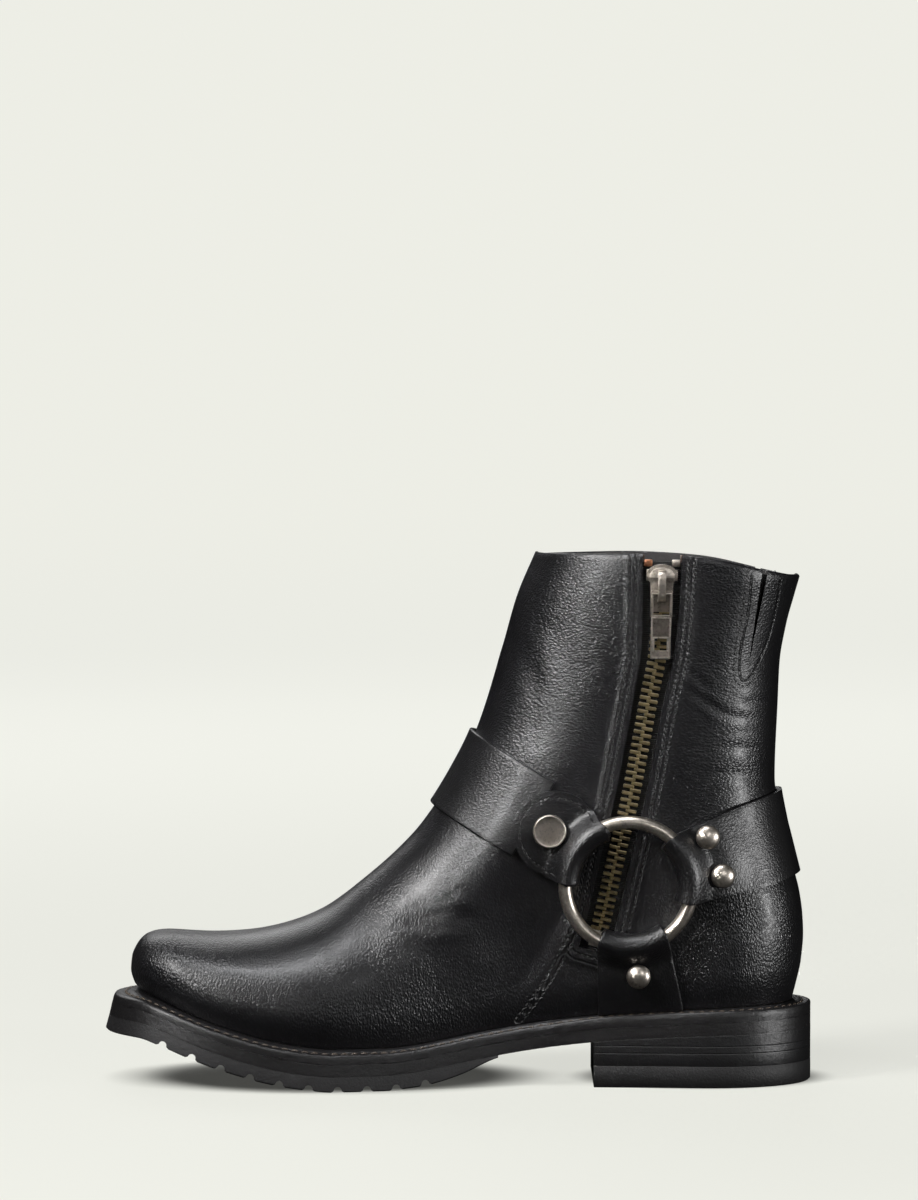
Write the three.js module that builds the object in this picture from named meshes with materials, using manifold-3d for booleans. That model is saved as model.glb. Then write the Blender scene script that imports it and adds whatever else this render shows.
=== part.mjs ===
// Harness ankle boot for the right foot, in millimetres: toe +X, inner side +Y, up +Z.
// It is modelled from the back of the heel, and moved at the end so that the middle of its footprint is the origin.
// The upper is a function of the side outline, the plan and the shaft, and everything that lies on it reads it.

import * as THREE from 'three';
import { mergeVertices } from 'three/addons/utils/BufferGeometryUtils.js';
import Module from 'manifold-3d';

const wasm = await Module();
wasm.setup();

// Driving sizes of the whole boot
const bootLength = 275.7;
const upperRise = 181;
const ballWidth = 92;
const ankleWidth = 65;
const collarWidth = 75;
const seatHeight = 31.4;
const ballHeight = 15.9;
const toeRise = 20.6;
const wall = 2.2;
const gap = 0.3;
const layerGap = 0.5;
const strapGap = 0.5;
const foldSlack = 1.1;

// Sole
const weltThickness = 5.2;
const weltSlope = 2;
const midsoleThickness = 4.1;
const insoleThickness = 6;
const toeFlare = 3.4;
const sideFlare = 1;
const heelLength = 85.5;
const liftThickness = 8.4;
const treadStart = 122.5;
const treadEndThickness = 1.8;
const treadTaper = 28;
const lugDepth = 2.8;
const lugPitch = 11.3;
const lugGroove = 3;
const lugRow = 22;
const lugRib = 3;

// Harness
const strapWidth = 33;
const strapThickness = 2;
const foldWidth = 27;
const underLayer = 16;
const ringDiameter = 54.2;
const ringWire = 5.2;
const rivetDiameter = 9.4;
const capDiameter = 13;
const ringSpot = { x: 0.2619 * bootLength, z: seatHeight + 0.2663 * upperRise };
const tabAngle = 35;
const rearAngle = 164;
const soleStrapAngle = -95;
const frontStrapAngle = 30.3;
const frontStrapOffset = 3.3;
const tabReach = 51;

// Zip
const zipGapWidth = 11.6;
const zipGapTopWidth = 15;
const tapeThickness = 0.7;
const tapeMargin = 5;
const toothPitch = 2.7;
const chainWidth = 6.5;
const toothThickness = 1.9;
const sliderWidth = 12;
const pullWidth = 8.5;
const pullLength = 27;
const pullThickness = 1.5;

const MEDIAL = 1;
const LATERAL = -1;

// Height of the feather line, where upper and welt meet: a share of the heel's part and of the toe's part
const featherRows = [
  { along: 0.0, seat: 1.0, toe: 0 },
  { along: 0.11, seat: 0.955, toe: 0 },
  { along: 0.19, seat: 0.9, toe: 0 },
  { along: 0.27, seat: 0.82, toe: 0 },
  { along: 0.31, seat: 0.76, toe: 0 },
  { along: 0.385, seat: 0.6, toe: 0 },
  { along: 0.47, seat: 0.36, toe: 0 },
  { along: 0.52, seat: 0.19, toe: 0 },
  { along: 0.565, seat: 0.06, toe: 0 },
  { along: 0.605, seat: 0, toe: 0 },
  { along: 0.676, seat: 0, toe: 0 },
  { along: 0.705, seat: 0, toe: 0.035 },
  { along: 0.745, seat: 0, toe: 0.115 },
  { along: 0.775, seat: 0, toe: 0.2 },
  { along: 0.81, seat: 0, toe: 0.33 },
  { along: 0.845, seat: 0, toe: 0.475 },
  { along: 0.88, seat: 0, toe: 0.65 },
  { along: 0.916, seat: 0, toe: 0.84 },
  { along: 0.95, seat: 0, toe: 0.97 },
  { along: 1.0, seat: 0, toe: 1 },
];

// Front of the upper in the middle plane, from the toe's feather line to the collar
const frontRows = [
  { up: 0, along: 0.9507 },
  { up: 0.0166, along: 0.959 },
  { up: 0.042, along: 0.9634 },
  { up: 0.068, along: 0.9619 },
  { up: 0.094, along: 0.955 },
  { up: 0.117, along: 0.943 },
  { up: 0.135, along: 0.925 },
  { up: 0.15, along: 0.8995 },
  { up: 0.167, along: 0.8658 },
  { up: 0.203, along: 0.798 },
  { up: 0.2464, along: 0.7327 },
  { up: 0.28, along: 0.6917 },
  { up: 0.334, along: 0.6438 },
  { up: 0.386, along: 0.6025 },
  { up: 0.456, along: 0.5531 },
  { up: 0.553, along: 0.506 },
  { up: 0.641, along: 0.4741 },
  { up: 0.812, along: 0.4371 },
  { up: 0.912, along: 0.4175 },
  { up: 1, along: 0.3917 },
];

// Back of the upper in the middle plane, from the heel's feather line to the collar
const backRows = [
  { up: 0, along: 0.0272 },
  { up: 0.043, along: 0.02 },
  { up: 0.082, along: 0.0145 },
  { up: 0.1425, along: 0.0112 },
  { up: 0.181, along: 0.0123 },
  { up: 0.231, along: 0.0167 },
  { up: 0.276, along: 0.024 },
  { up: 0.337, along: 0.034 },
  { up: 0.403, along: 0.0445 },
  { up: 0.483, along: 0.0522 },
  { up: 0.646, along: 0.0482 },
  { up: 0.729, along: 0.0457 },
  { up: 0.807, along: 0.037 },
  { up: 0.873, along: 0.0254 },
  { up: 0.913, along: 0.0178 },
];

// Top line of the shaft
const collarRows = [
  { along: 0.0178, up: 0.913 },
  { along: 0.065, up: 0.931 },
  { along: 0.152, up: 0.9635 },
  { along: 0.23, up: 0.978 },
  { along: 0.3155, up: 0.988 },
  { along: 0.3917, up: 1 },
];

// Plan of the foot part before its ends are rounded, as shares of the ball width
const planRows = [
  { along: 0, medial: 0.36, lateral: 0.36, ridge: 0 },
  { along: 0.13, medial: 0.355, lateral: 0.355, ridge: 0 },
  { along: 0.26, medial: 0.335, lateral: 0.362, ridge: 0 },
  { along: 0.38, medial: 0.32, lateral: 0.386, ridge: 0.005 },
  { along: 0.49, medial: 0.357, lateral: 0.43, ridge: 0.016 },
  { along: 0.6, medial: 0.43, lateral: 0.485, ridge: 0.033 },
  { along: 0.69, medial: 0.484, lateral: 0.505, ridge: 0.054 },
  { along: 0.745, medial: 0.495, lateral: 0.484, ridge: 0.065 },
  { along: 0.82, medial: 0.485, lateral: 0.435, ridge: 0.074 },
  { along: 0.89, medial: 0.462, lateral: 0.37, ridge: 0.078 },
  { along: 0.97, medial: 0.44, lateral: 0.31, ridge: 0.08 },
];

// Half width of the shaft between ankle and collar
const shaftRows = [
  { up: 0, ankle: 1, collar: 0 },
  { up: 0.33, ankle: 1, collar: 0 },
  { up: 0.6, ankle: 0.7, collar: 0.3 },
  { up: 1, ankle: 0, collar: 1 },
];

// How far the welt stands out from the feather line
const weltRows = [
  { along: 0.02, out: 7.5 },
  { along: 0.07, out: 6.3 },
  { along: 0.18, out: 5 },
  { along: 0.3, out: 4.2 },
  { along: 0.42, out: 3.8 },
  { along: 0.56, out: 4.8 },
  { along: 0.7, out: 6 },
  { along: 0.85, out: 7.5 },
  { along: 0.96, out: 10.2 },
];

// Middle of the zip in the side view, from the collar down: heights are counted from the heel seat
const zipRows = [
  { along: 0.2155, up: 0.9757 },
  { along: 0.2169, up: 0.8762 },
  { along: 0.2213, up: 0.7657 },
  { along: 0.2332, up: 0.6663 },
  { along: 0.2456, up: 0.5613 },
  { along: 0.2597, up: 0.4481 },
  { along: 0.2807, up: 0.3094 },
  { along: 0.3007, up: 0.1746 },
  { along: 0.3141, up: 0.1028 },
];

const lerp = THREE.MathUtils.lerp;
const clamp = THREE.MathUtils.clamp;
const smooth = (value, from, to) => THREE.MathUtils.smoothstep(value, from, to);
const radians = THREE.MathUtils.degToRad;

// Curve through a table's rows that never swings past them
function tableCurve(rows, key, column) {
  const at = rows.map((row) => row[key]);
  const value = rows.map((row) => row[column]);
  const last = rows.length - 1;
  const slope = [];
  for (let i = 0; i < last; i++) slope.push((value[i + 1] - value[i]) / (at[i + 1] - at[i]));
  const tangent = slope.map((rise, i) => {
    if (i === 0) return rise;
    const before = slope[i - 1];
    return before * rise <= 0 ? 0 : (2 * before * rise) / (before + rise);
  });
  tangent.push(slope[last - 1]);
  return (where) => {
    const place = clamp(where, at[0], at[last]);
    let i = 0;
    while (i < last - 1 && place > at[i + 1]) i++;
    const step = at[i + 1] - at[i];
    const t = (place - at[i]) / step;
    const rise = value[i + 1] - value[i];
    const bend = t * (1 - t) * ((1 - t) * (tangent[i] * step - rise) - t * (tangent[i + 1] * step - rise));
    return value[i] + t * rise + bend;
  };
}

const seatShare = tableCurve(featherRows, 'along', 'seat');
const toeShare = tableCurve(featherRows, 'along', 'toe');
const frontShare = tableCurve(frontRows, 'up', 'along');
const backShare = tableCurve(backRows, 'up', 'along');
const collarShare = tableCurve(collarRows, 'along', 'up');
const ankleShare = tableCurve(shaftRows, 'up', 'ankle');
const collarWeight = tableCurve(shaftRows, 'up', 'collar');
const weltShare = tableCurve(weltRows, 'along', 'out');
const planShare = {
  [MEDIAL]: tableCurve(planRows, 'along', 'medial'),
  [LATERAL]: tableCurve(planRows, 'along', 'lateral'),
};
const ridgeShare = tableCurve(planRows, 'along', 'ridge');

// Heights are counted from the feather line, so the upper follows the sole whatever its heel
const featherZ = (x) => {
  const along = x / bootLength;
  return ballHeight + (seatHeight - ballHeight) * seatShare(along) + toeRise * toeShare(along);
};
const frontX = (up) => bootLength * frontShare(up / upperRise);
const backX = (up) => bootLength * backShare(up / upperRise);
const collarUp = (x) => upperRise * collarShare(x / bootLength);
const ridgeY = (x) => ballWidth * ridgeShare(x / bootLength);

// The front line read the other way: how high the upper is at a place along the foot
const frontSamples = 1500;
const toeTurn = 0.042 * upperRise;
const topUps = [];
for (let i = 0; i <= frontSamples; i++) topUps.push(lerp(toeTurn, upperRise, i / frontSamples));
const topXs = topUps.map(frontX);
function topUp(x) {
  if (x <= topXs[frontSamples]) return upperRise + (topXs[frontSamples] - x) * 6;
  if (x >= topXs[0]) return toeTurn;
  let low = 0;
  let high = frontSamples;
  while (high - low > 1) {
    const middle = (low + high) >> 1;
    if (topXs[middle] > x) low = middle;
    else high = middle;
  }
  return lerp(topUps[low], topUps[high], (topXs[low] - x) / (topXs[low] - topXs[high] || 1));
}

// Roundings of the upper, as shares of the size that each follows
const roundPower = 2.15;
const toeRound = 0.42 * ballWidth;
const shaftFrontRound = 0.64 * collarWidth;
const shaftBackRound = 0.54 * collarWidth;
const heelRound = 0.4 * ballWidth;
const crownShare = 0.75;
const crownMost = 0.27 * upperRise;
const tuckShare = 0.08;
const tuckUp = 0.075 * upperRise;

// Distance of the skin from the ridge plane at a place along the boot and a height over the feather line
function halfWidth(side, x, up) {
  const along = x / bootLength;
  const high = up / upperRise;
  const foot = ballWidth * (planShare[side](along) - side * ridgeShare(along));
  const shaft = (ankleWidth * ankleShare(high) + collarWidth * collarWeight(high)) / 2;
  const width = lerp(foot, shaft, smooth(high, 0.12, 0.46));
  const ahead = Math.max(frontX(up) - x, 1e-6);
  const above = Math.max(topUp(x) - up, 1e-6);
  const forwardRound = lerp(toeRound, shaftFrontRound, smooth(high, 0.15, 0.5));
  const crown = Math.min(crownShare * topUp(x), crownMost);
  const front = 1 / Math.hypot(forwardRound / ahead, crown / above);
  const rear = (x - backX(up)) / lerp(heelRound, shaftBackRound, smooth(high, 0.2, 0.6));
  const frontLoss = (1 - Math.min(front, 1)) ** roundPower;
  const rearLoss = (1 - clamp(rear, 0, 1)) ** roundPower;
  const fullness = Math.max(1 - frontLoss - rearLoss, 0) ** (1 / roundPower);
  const tuck = 1 - tuckShare * (1 - Math.min(up / tuckUp, 1)) ** 2;
  return width * fullness * tuck;
}

const skinUp = (side, x, up) =>
  new THREE.Vector3(x, ridgeY(x) + side * halfWidth(side, x, up), featherZ(x) + up);
const skin = (side, x, z) => skinUp(side, x, z - featherZ(x));

// Outward normal of the skin away from the middle plane
function skinNormal(side, x, z) {
  const reach = 1.5;
  const alongX = skin(side, x + reach, z).sub(skin(side, x - reach, z));
  const alongZ = skin(side, x, z + reach).sub(skin(side, x, z - reach));
  return alongZ.cross(alongX).multiplyScalar(side).normalize();
}
const lifted = (side, x, z, lift) => skin(side, x, z).addScaledVector(skinNormal(side, x, z), lift);

// Loops run round the upper, level at the feather line and along the collar at the top
const loopShare = (k, count) => (1 - Math.cos((Math.PI * k) / count)) / 2;
function loopPoint(side, s, v) {
  const backUp = collarUp(backX(upperRise)) * v ** 1.5;
  const frontUp = upperRise * v ** 1.7;
  const x = lerp(backX(backUp), frontX(frontUp), s);
  const line = lerp(collarUp(backX(upperRise)), upperRise, s);
  const up = gap + lerp(backUp, frontUp, s) * (1 - gap / upperRise) + v ** 6 * (collarUp(x) - line);
  const point = skinUp(side, x, Math.min(up, upperRise));
  if (s <= 0 || s >= 1) point.y = ridgeY(x);
  return point;
}

// Mesh helpers
function triangles(list) {
  const flat = [];
  for (const [a, b, c] of list) {
    if (a.distanceTo(b) < 1e-4 || b.distanceTo(c) < 1e-4 || a.distanceTo(c) < 1e-4) continue;
    for (const p of [a, b, c]) flat.push(p.x, p.y, p.z);
  }
  const geometry = new THREE.BufferGeometry();
  geometry.setAttribute('position', new THREE.Float32BufferAttribute(flat, 3));
  return geometry;
}
const quad = (list, a, b, c, d) => list.push([a, b, c], [a, c, d]);

function toSolid(geometry) {
  const bare = geometry.index ? geometry.toNonIndexed() : geometry.clone();
  for (const name of Object.keys(bare.attributes)) if (name !== 'position') bare.deleteAttribute(name);
  const merged = mergeVertices(bare, 1e-4);
  return new wasm.Manifold(new wasm.Mesh({
    numProp: 3,
    vertProperties: new Float32Array(merged.attributes.position.array),
    triVerts: new Uint32Array(merged.index.array),
  }));
}
function toGeometry(solid) {
  const mesh = solid.getMesh();
  const geometry = new THREE.BufferGeometry();
  geometry.setAttribute('position', new THREE.BufferAttribute(new Float32Array(mesh.vertProperties), 3));
  geometry.setIndex(new THREE.BufferAttribute(new Uint32Array(mesh.triVerts), 1));
  return geometry;
}
const join = (geometries) => toGeometry(geometries.map(toSolid).reduce((all, next) => all.add(next)));

// What is left of a piece after its cuts, without the dust that two cuts can leave between them
function cut(geometry, cutters) {
  const rest = cutters.map(toSolid).reduce((solid, cutter) => solid.subtract(cutter), toSolid(geometry));
  const bodies = rest.decompose().sort((a, b) => b.volume() - a.volume());
  return toGeometry(bodies[0]);
}

// Unit normals of a grid of points, from its neighbours
function gridNormals(grid, closed = false) {
  const count = grid[0].length;
  return grid.map((row, i) => row.map((point, j) => {
    const before = grid[Math.max(i - 1, 0)][j];
    const after = grid[Math.min(i + 1, grid.length - 1)][j];
    const left = closed ? row[(j - 1 + count) % count] : row[Math.max(j - 1, 0)];
    const right = closed ? row[(j + 1) % count] : row[Math.min(j + 1, count - 1)];
    return after.clone().sub(before).cross(right.clone().sub(left)).normalize();
  }));
}

// Closed sheet of a given thickness round a grid of middle points
function sheet(grid, thickness) {
  const normals = gridNormals(grid);
  const shift = (amount) => grid.map((row, i) =>
    row.map((point, j) => point.clone().addScaledVector(normals[i][j], amount)));
  const over = shift(thickness / 2);
  const under = shift(-thickness / 2);
  const list = [];
  const rows = grid.length - 1;
  const columns = grid[0].length - 1;
  for (let i = 0; i < rows; i++) {
    for (let j = 0; j < columns; j++) {
      quad(list, over[i][j], over[i + 1][j], over[i + 1][j + 1], over[i][j + 1]);
      quad(list, under[i][j], under[i][j + 1], under[i + 1][j + 1], under[i + 1][j]);
    }
    quad(list, over[i][0], under[i][0], under[i + 1][0], over[i + 1][0]);
    quad(list, over[i][columns], over[i + 1][columns], under[i + 1][columns], under[i][columns]);
  }
  for (let j = 0; j < columns; j++) {
    quad(list, over[0][j], over[0][j + 1], under[0][j + 1], under[0][j]);
    quad(list, over[rows][j], under[rows][j], under[rows][j + 1], over[rows][j + 1]);
  }
  return triangles(list);
}

// Side-view outline pushed through one side of the boot
function sideCutter(points, side) {
  const shape = new THREE.Shape(points.map((point) => new THREE.Vector2(point.x, point.z)));
  const depth = ballWidth;
  const block = new THREE.ExtrudeGeometry(shape, { depth, bevelEnabled: false });
  block.rotateX(Math.PI / 2);
  block.translate(0, side === MEDIAL ? depth + 4 : -4, 0);
  return block;
}

// Matrix of a frame on the skin: its second axis points up the shaft, or along another line, and its third outward
const upward = new THREE.Vector3(0, 0, 1);
function skinFrame(side, x, z, lift, heading = upward) {
  const outward = skinNormal(side, x, z);
  const along = heading.clone().addScaledVector(outward, -outward.dot(heading)).normalize();
  const matrix = new THREE.Matrix4().makeBasis(along.clone().cross(outward), along, outward);
  return matrix.setPosition(lifted(side, x, z, lift));
}

// Upper: outer and inner loops, joined at the collar and at the open bottom
const loopCount = 23;
const halfLoop = 19;
const wallGrid = [];
for (let i = 0; i <= loopCount; i++) {
  const row = [];
  for (let k = 0; k < halfLoop; k++) row.push(loopPoint(MEDIAL, loopShare(k, halfLoop), i / loopCount));
  for (let k = halfLoop; k > 0; k--) row.push(loopPoint(LATERAL, loopShare(k, halfLoop), i / loopCount));
  wallGrid.push(row);
}

function upperShell() {
  const normals = gridNormals(wallGrid, true);
  const inner = wallGrid.map((row, i) =>
    row.map((point, j) => point.clone().addScaledVector(normals[i][j], -wall)));
  inner[0].forEach((point, j) => point.setZ(wallGrid[0][j].z));
  const count = 2 * halfLoop;
  const list = [];
  for (let j = 0; j < count; j++) {
    const next = (j + 1) % count;
    for (let i = 0; i < loopCount; i++) {
      quad(list, wallGrid[i][j], wallGrid[i + 1][j], wallGrid[i + 1][next], wallGrid[i][next]);
      quad(list, inner[i][j], inner[i][next], inner[i + 1][next], inner[i + 1][j]);
    }
    quad(list, wallGrid[0][j], wallGrid[0][next], inner[0][next], inner[0][j]);
    quad(list, wallGrid[loopCount][j], inner[loopCount][j], inner[loopCount][next], wallGrid[loopCount][next]);
  }
  return triangles(list);
}

// Outlines of the sole's layers: the feather line moved outward or inward
const weltOut = (x) => weltShare(x / bootLength);
function featherPoint(side, t) {
  const x = lerp(backX(0), frontX(0), (1 - Math.cos(Math.PI * t)) / 2);
  const edge = t <= 0 || t >= 1 ? 0 : halfWidth(side, x, 0);
  return new THREE.Vector2(x, ridgeY(x) + side * edge);
}
function outline(side, t, offset) {
  const step = 0.004;
  const here = featherPoint(side, t);
  const before = t < step ? featherPoint(-side, step) : featherPoint(side, t - step);
  const after = t > 1 - step ? featherPoint(-side, 1 - step) : featherPoint(side, t + step);
  const outward = new THREE.Vector2(before.y - after.y, after.x - before.x).normalize().multiplyScalar(side);
  return here.addScaledVector(outward, offset(here.x));
}

// Where an outline reaches a place along the boot
function shareAt(side, x, offset) {
  let low = 0;
  let high = 1;
  for (let i = 0; i < 40; i++) {
    const middle = (low + high) / 2;
    if (outline(side, middle, offset).x < x) low = middle;
    else high = middle;
  }
  return low;
}

// Layer of the sole between two surfaces: its two edges are outlines, its ends straight cuts or the boot's own ends
const layerSteps = 32;
function layer({ from = null, to = null, steps = layerSteps, top, bottom, topOut, bottomOut }) {
  const reach = (side, offset) => [
    from === null ? 0 : shareAt(side, from, offset),
    to === null ? 1 : shareAt(side, to, offset),
  ];
  const edge = (side, offset, height) => {
    const [start, end] = reach(side, offset);
    const points = [];
    for (let k = 0; k <= steps; k++) {
      const spot = outline(side, lerp(start, end, k / steps), offset);
      points.push(new THREE.Vector3(spot.x, spot.y, height(spot.x)));
    }
    return points;
  };
  const topIn = edge(MEDIAL, topOut, top);
  const topOuter = edge(LATERAL, topOut, top);
  const lowIn = edge(MEDIAL, bottomOut, bottom);
  const lowOuter = edge(LATERAL, bottomOut, bottom);
  const list = [];
  for (let k = 0; k < steps; k++) {
    quad(list, topIn[k], topOuter[k], topOuter[k + 1], topIn[k + 1]);
    quad(list, lowIn[k], lowIn[k + 1], lowOuter[k + 1], lowOuter[k]);
    quad(list, topIn[k], topIn[k + 1], lowIn[k + 1], lowIn[k]);
    quad(list, topOuter[k], lowOuter[k], lowOuter[k + 1], topOuter[k + 1]);
  }
  quad(list, topIn[0], lowIn[0], lowOuter[0], topOuter[0]);
  quad(list, topIn[steps], topOuter[steps], lowOuter[steps], lowIn[steps]);
  return triangles(list);
}

// Depths of the layers under the feather line
const weltUnder = weltThickness;
const midsoleTop = weltUnder + layerGap;
const midsoleUnder = midsoleTop + midsoleThickness;
const treadTop = midsoleUnder + gap;
const flare = (depth) => {
  const share = (depth - weltSlope) / (ballHeight - weltSlope);
  return (x) => weltOut(x) + share * lerp(sideFlare, toeFlare, smooth(x / bootLength, 0.8, 0.96))
    * smooth(x / bootLength, 0.35, 0.5);
};

// Welt: a strip round the whole boot that slopes down from the upper, open over the insole's filling
function weltRing() {
  const count = 2 * layerSteps;
  const rings = [];
  for (let k = 0; k < count; k++) {
    const side = k < layerSteps ? MEDIAL : LATERAL;
    const t = k < layerSteps ? k / layerSteps : 2 - k / layerSteps;
    const corner = (offset, drop) => {
      const spot = outline(side, t, offset);
      return new THREE.Vector3(spot.x, spot.y, featherZ(spot.x) - drop);
    };
    const slope = (x) => weltSlope * lerp(0.4, 1, smooth(x / bootLength, 0.28, 0.4));
    const edge = outline(side, t, flare(weltSlope));
    rings.push([
      corner(() => -wall, 0),
      corner(() => 0.6, 0),
      new THREE.Vector3(edge.x, edge.y, featherZ(edge.x) - slope(edge.x)),
      corner(flare(weltUnder), weltUnder),
      corner((x) => 0.4 * weltOut(x), weltUnder),
      corner(() => -wall, weltUnder),
    ]);
  }
  const list = [];
  for (let k = 0; k < count; k++) {
    const here = rings[k];
    const next = rings[(k + 1) % count];
    for (let c = 0; c < here.length; c++) {
      const d = (c + 1) % here.length;
      quad(list, here[c], next[c], next[d], here[d]);
    }
  }
  return triangles(list);
}

function midsole() {
  return layer({
    top: (x) => featherZ(x) - midsoleTop,
    bottom: (x) => featherZ(x) - midsoleUnder,
    topOut: flare(midsoleTop),
    bottomOut: flare(midsoleUnder),
  });
}

function insole() {
  const inset = () => -(wall + 2 * gap);
  return layer({
    steps: 28,
    top: (x) => featherZ(x) - midsoleTop + gap + insoleThickness,
    bottom: (x) => featherZ(x) - midsoleTop + gap,
    topOut: inset,
    bottomOut: inset,
  });
}

// Rubber tread under the forefoot: flat where it stands, thin towards the waist, cut into three rows of bars
function treadZ(x) {
  const full = ballHeight - treadTop;
  const thin = lerp(treadEndThickness, full, smooth(x, treadStart - treadTaper / 4, treadStart + treadTaper));
  return featherZ(x) - treadTop - thin;
}
function grooveBlock(x, y, length) {
  const block = new THREE.BoxGeometry(lugGroove, length, 2 * lugDepth);
  block.rotateY(-Math.atan((treadZ(x + 1) - treadZ(x - 1)) / 2));
  block.translate(x, y, treadZ(x));
  return block;
}
function tread() {
  const plate = layer({
    from: treadStart,
    top: (x) => featherZ(x) - treadTop,
    bottom: treadZ,
    topOut: flare(treadTop),
    bottomOut: flare(ballHeight),
  });
  const grooves = [];
  const firstGroove = treadStart + treadTaper;
  const lastGroove = frontX(0) - lugPitch / 2;
  const atEdge = (side, x) => outline(side, shareAt(side, x, weltOut), flare(ballHeight)).y;
  for (let x = firstGroove; x < lastGroove; x += lugPitch) {
    for (const side of [MEDIAL, LATERAL]) {
      grooves.push(grooveBlock(x, atEdge(side, x) - side * (lugRow / 2 - 2), lugRow + 4));
    }
    const middle = x + lugPitch / 2;
    const width = atEdge(MEDIAL, middle) - atEdge(LATERAL, middle) - 2 * (lugRow + lugRib);
    if (width > lugRow / 2) {
      grooves.push(grooveBlock(middle, (atEdge(MEDIAL, middle) + atEdge(LATERAL, middle)) / 2, width));
    }
  }
  return cut(plate, grooves);
}

// Bar through a row of four-cornered sections
function ringsBar(rings) {
  const list = [];
  const last = rings.length - 1;
  for (let k = 0; k < last; k++) {
    for (let c = 0; c < 4; c++) {
      const d = (c + 1) % 4;
      quad(list, rings[k][c], rings[k][d], rings[k + 1][d], rings[k + 1][c]);
    }
  }
  quad(list, rings[0][0], rings[0][3], rings[0][2], rings[0][1]);
  quad(list, rings[last][0], rings[last][1], rings[last][2], rings[last][3]);
  return triangles(list);
}

function heelStack() {
  return layer({
    to: heelLength,
    steps: 20,
    top: (x) => featherZ(x) - midsoleUnder - gap,
    bottom: () => liftThickness + gap,
    topOut: weltOut,
    bottomOut: weltOut,
  });
}
function heelLift() {
  return layer({
    to: heelLength,
    steps: 20,
    top: () => liftThickness,
    bottom: () => 0,
    topOut: weltOut,
    bottomOut: weltOut,
  });
}

// Harness rings: they lie along the skin, high enough for the leather that is folded round them
const ringRadius = (ringDiameter - ringWire) / 2;
const foldRadius = ringWire / 2 + foldSlack + strapThickness / 2;
const singleLift = strapGap + strapThickness / 2;
const doubleLift = singleLift + strapThickness + gap;
const ringLift = singleLift + foldRadius;
const ringPoint = (ring, angle, radius) => ring.center.clone()
  .addScaledVector(ring.forward, Math.cos(angle) * radius)
  .addScaledVector(ring.upward, Math.sin(angle) * radius);

function ringOn(side) {
  const under = [tabAngle, rearAngle, soleStrapAngle].map((angle) => skin(side,
    ringSpot.x + ringRadius * Math.cos(radians(angle)), ringSpot.z + ringRadius * Math.sin(radians(angle))));
  const outward = new THREE.Plane().setFromCoplanarPoints(...under).normal;
  if (outward.y * side < 0) outward.negate();
  const forward = new THREE.Vector3(1, 0, 0).addScaledVector(outward, -outward.x).normalize();
  const upward = new THREE.Vector3(0, 0, 1).addScaledVector(outward, -outward.z);
  upward.addScaledVector(forward, -upward.dot(forward)).normalize();
  const ring = { side, outward, forward, upward, center: skin(side, ringSpot.x, ringSpot.z) };
  let least = Infinity;
  for (let angle = 0; angle < 360; angle += 10) {
    const spot = ringPoint(ring, radians(angle), ringRadius);
    const height = spot.clone().sub(skin(side, spot.x, spot.z)).dot(skinNormal(side, spot.x, spot.z));
    least = Math.min(least, height);
  }
  ring.center.addScaledVector(outward, ringLift - least);
  return ring;
}
function ringSolid(ring) {
  const torus = new THREE.TorusGeometry(ringRadius, ringWire / 2, 8, 28);
  const upward = ring.outward.clone().cross(ring.forward);
  torus.applyMatrix4(new THREE.Matrix4().makeBasis(ring.forward, upward, ring.outward).setPosition(ring.center));
  return torus;
}

// Height of a strap's middle over the skin, at a distance from the ring's wire
const foldBlend = 9;
const stepBlend = 4;
function strapLift(distance, fromLift, doubled) {
  const base = doubled ? doubleLift : singleLift;
  const overUnder = (doubleLift - base) * (1 - smooth(distance, underLayer + 1, underLayer + 1 + stepBlend));
  return base + overUnder + (fromLift - doubleLift) * (1 - smooth(distance, 0, foldBlend));
}

// One strip of a strap from its layer under the ring, round the wire and along the skin towards a spot
const wrapSteps = 6;
const topStations = [2.5, 5, foldBlend, 13, underLayer + 1, underLayer + 1 + stepBlend];
function foldedStrip(ring, angle, aim, doubled) {
  const { side } = ring;
  const wire = ringPoint(ring, angle, ringRadius);
  const away = ringPoint(ring, angle, ringRadius + 1).sub(wire);
  const heading = new THREE.Vector2(aim.x - wire.x, aim.z - wire.z).normalize();
  const spot = (distance) => ({ x: wire.x + heading.x * distance, z: wire.z + heading.y * distance });
  const wireLift = wire.clone().sub(skin(side, wire.x, wire.z)).dot(skinNormal(side, wire.x, wire.z));
  const points = [];
  for (const share of [1, 0.6, 0.25]) {
    const place = spot(underLayer * share);
    const rise = (wireLift - foldRadius - singleLift) * (1 - share);
    points.push(lifted(side, place.x, place.z, singleLift + rise));
  }
  for (let k = 0; k <= wrapSteps; k++) {
    const turn = Math.PI * (1.5 - k / wrapSteps);
    points.push(wire.clone()
      .addScaledVector(away, foldRadius * Math.cos(turn))
      .addScaledVector(ring.outward, foldRadius * Math.sin(turn)));
  }
  const reach = Math.hypot(aim.x - wire.x, aim.z - wire.z);
  for (const distance of topStations) {
    if (distance > reach - 1) continue;
    const place = spot(distance);
    points.push(lifted(side, place.x, place.z, strapLift(distance, wireLift + foldRadius, doubled)));
  }
  return { points, reach };
}

// Places across a strap, and the ring's angle that each is folded at
const rowCount = 5;
const across = (j, width) => (j / (rowCount - 1) - 0.5) * width;
const foldSpan = 2 * Math.asin(foldWidth / 2 / ringRadius);
const foldAngle = (j, middle) => radians(middle) + foldSpan * (j / (rowCount - 1) - 0.5);

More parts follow.
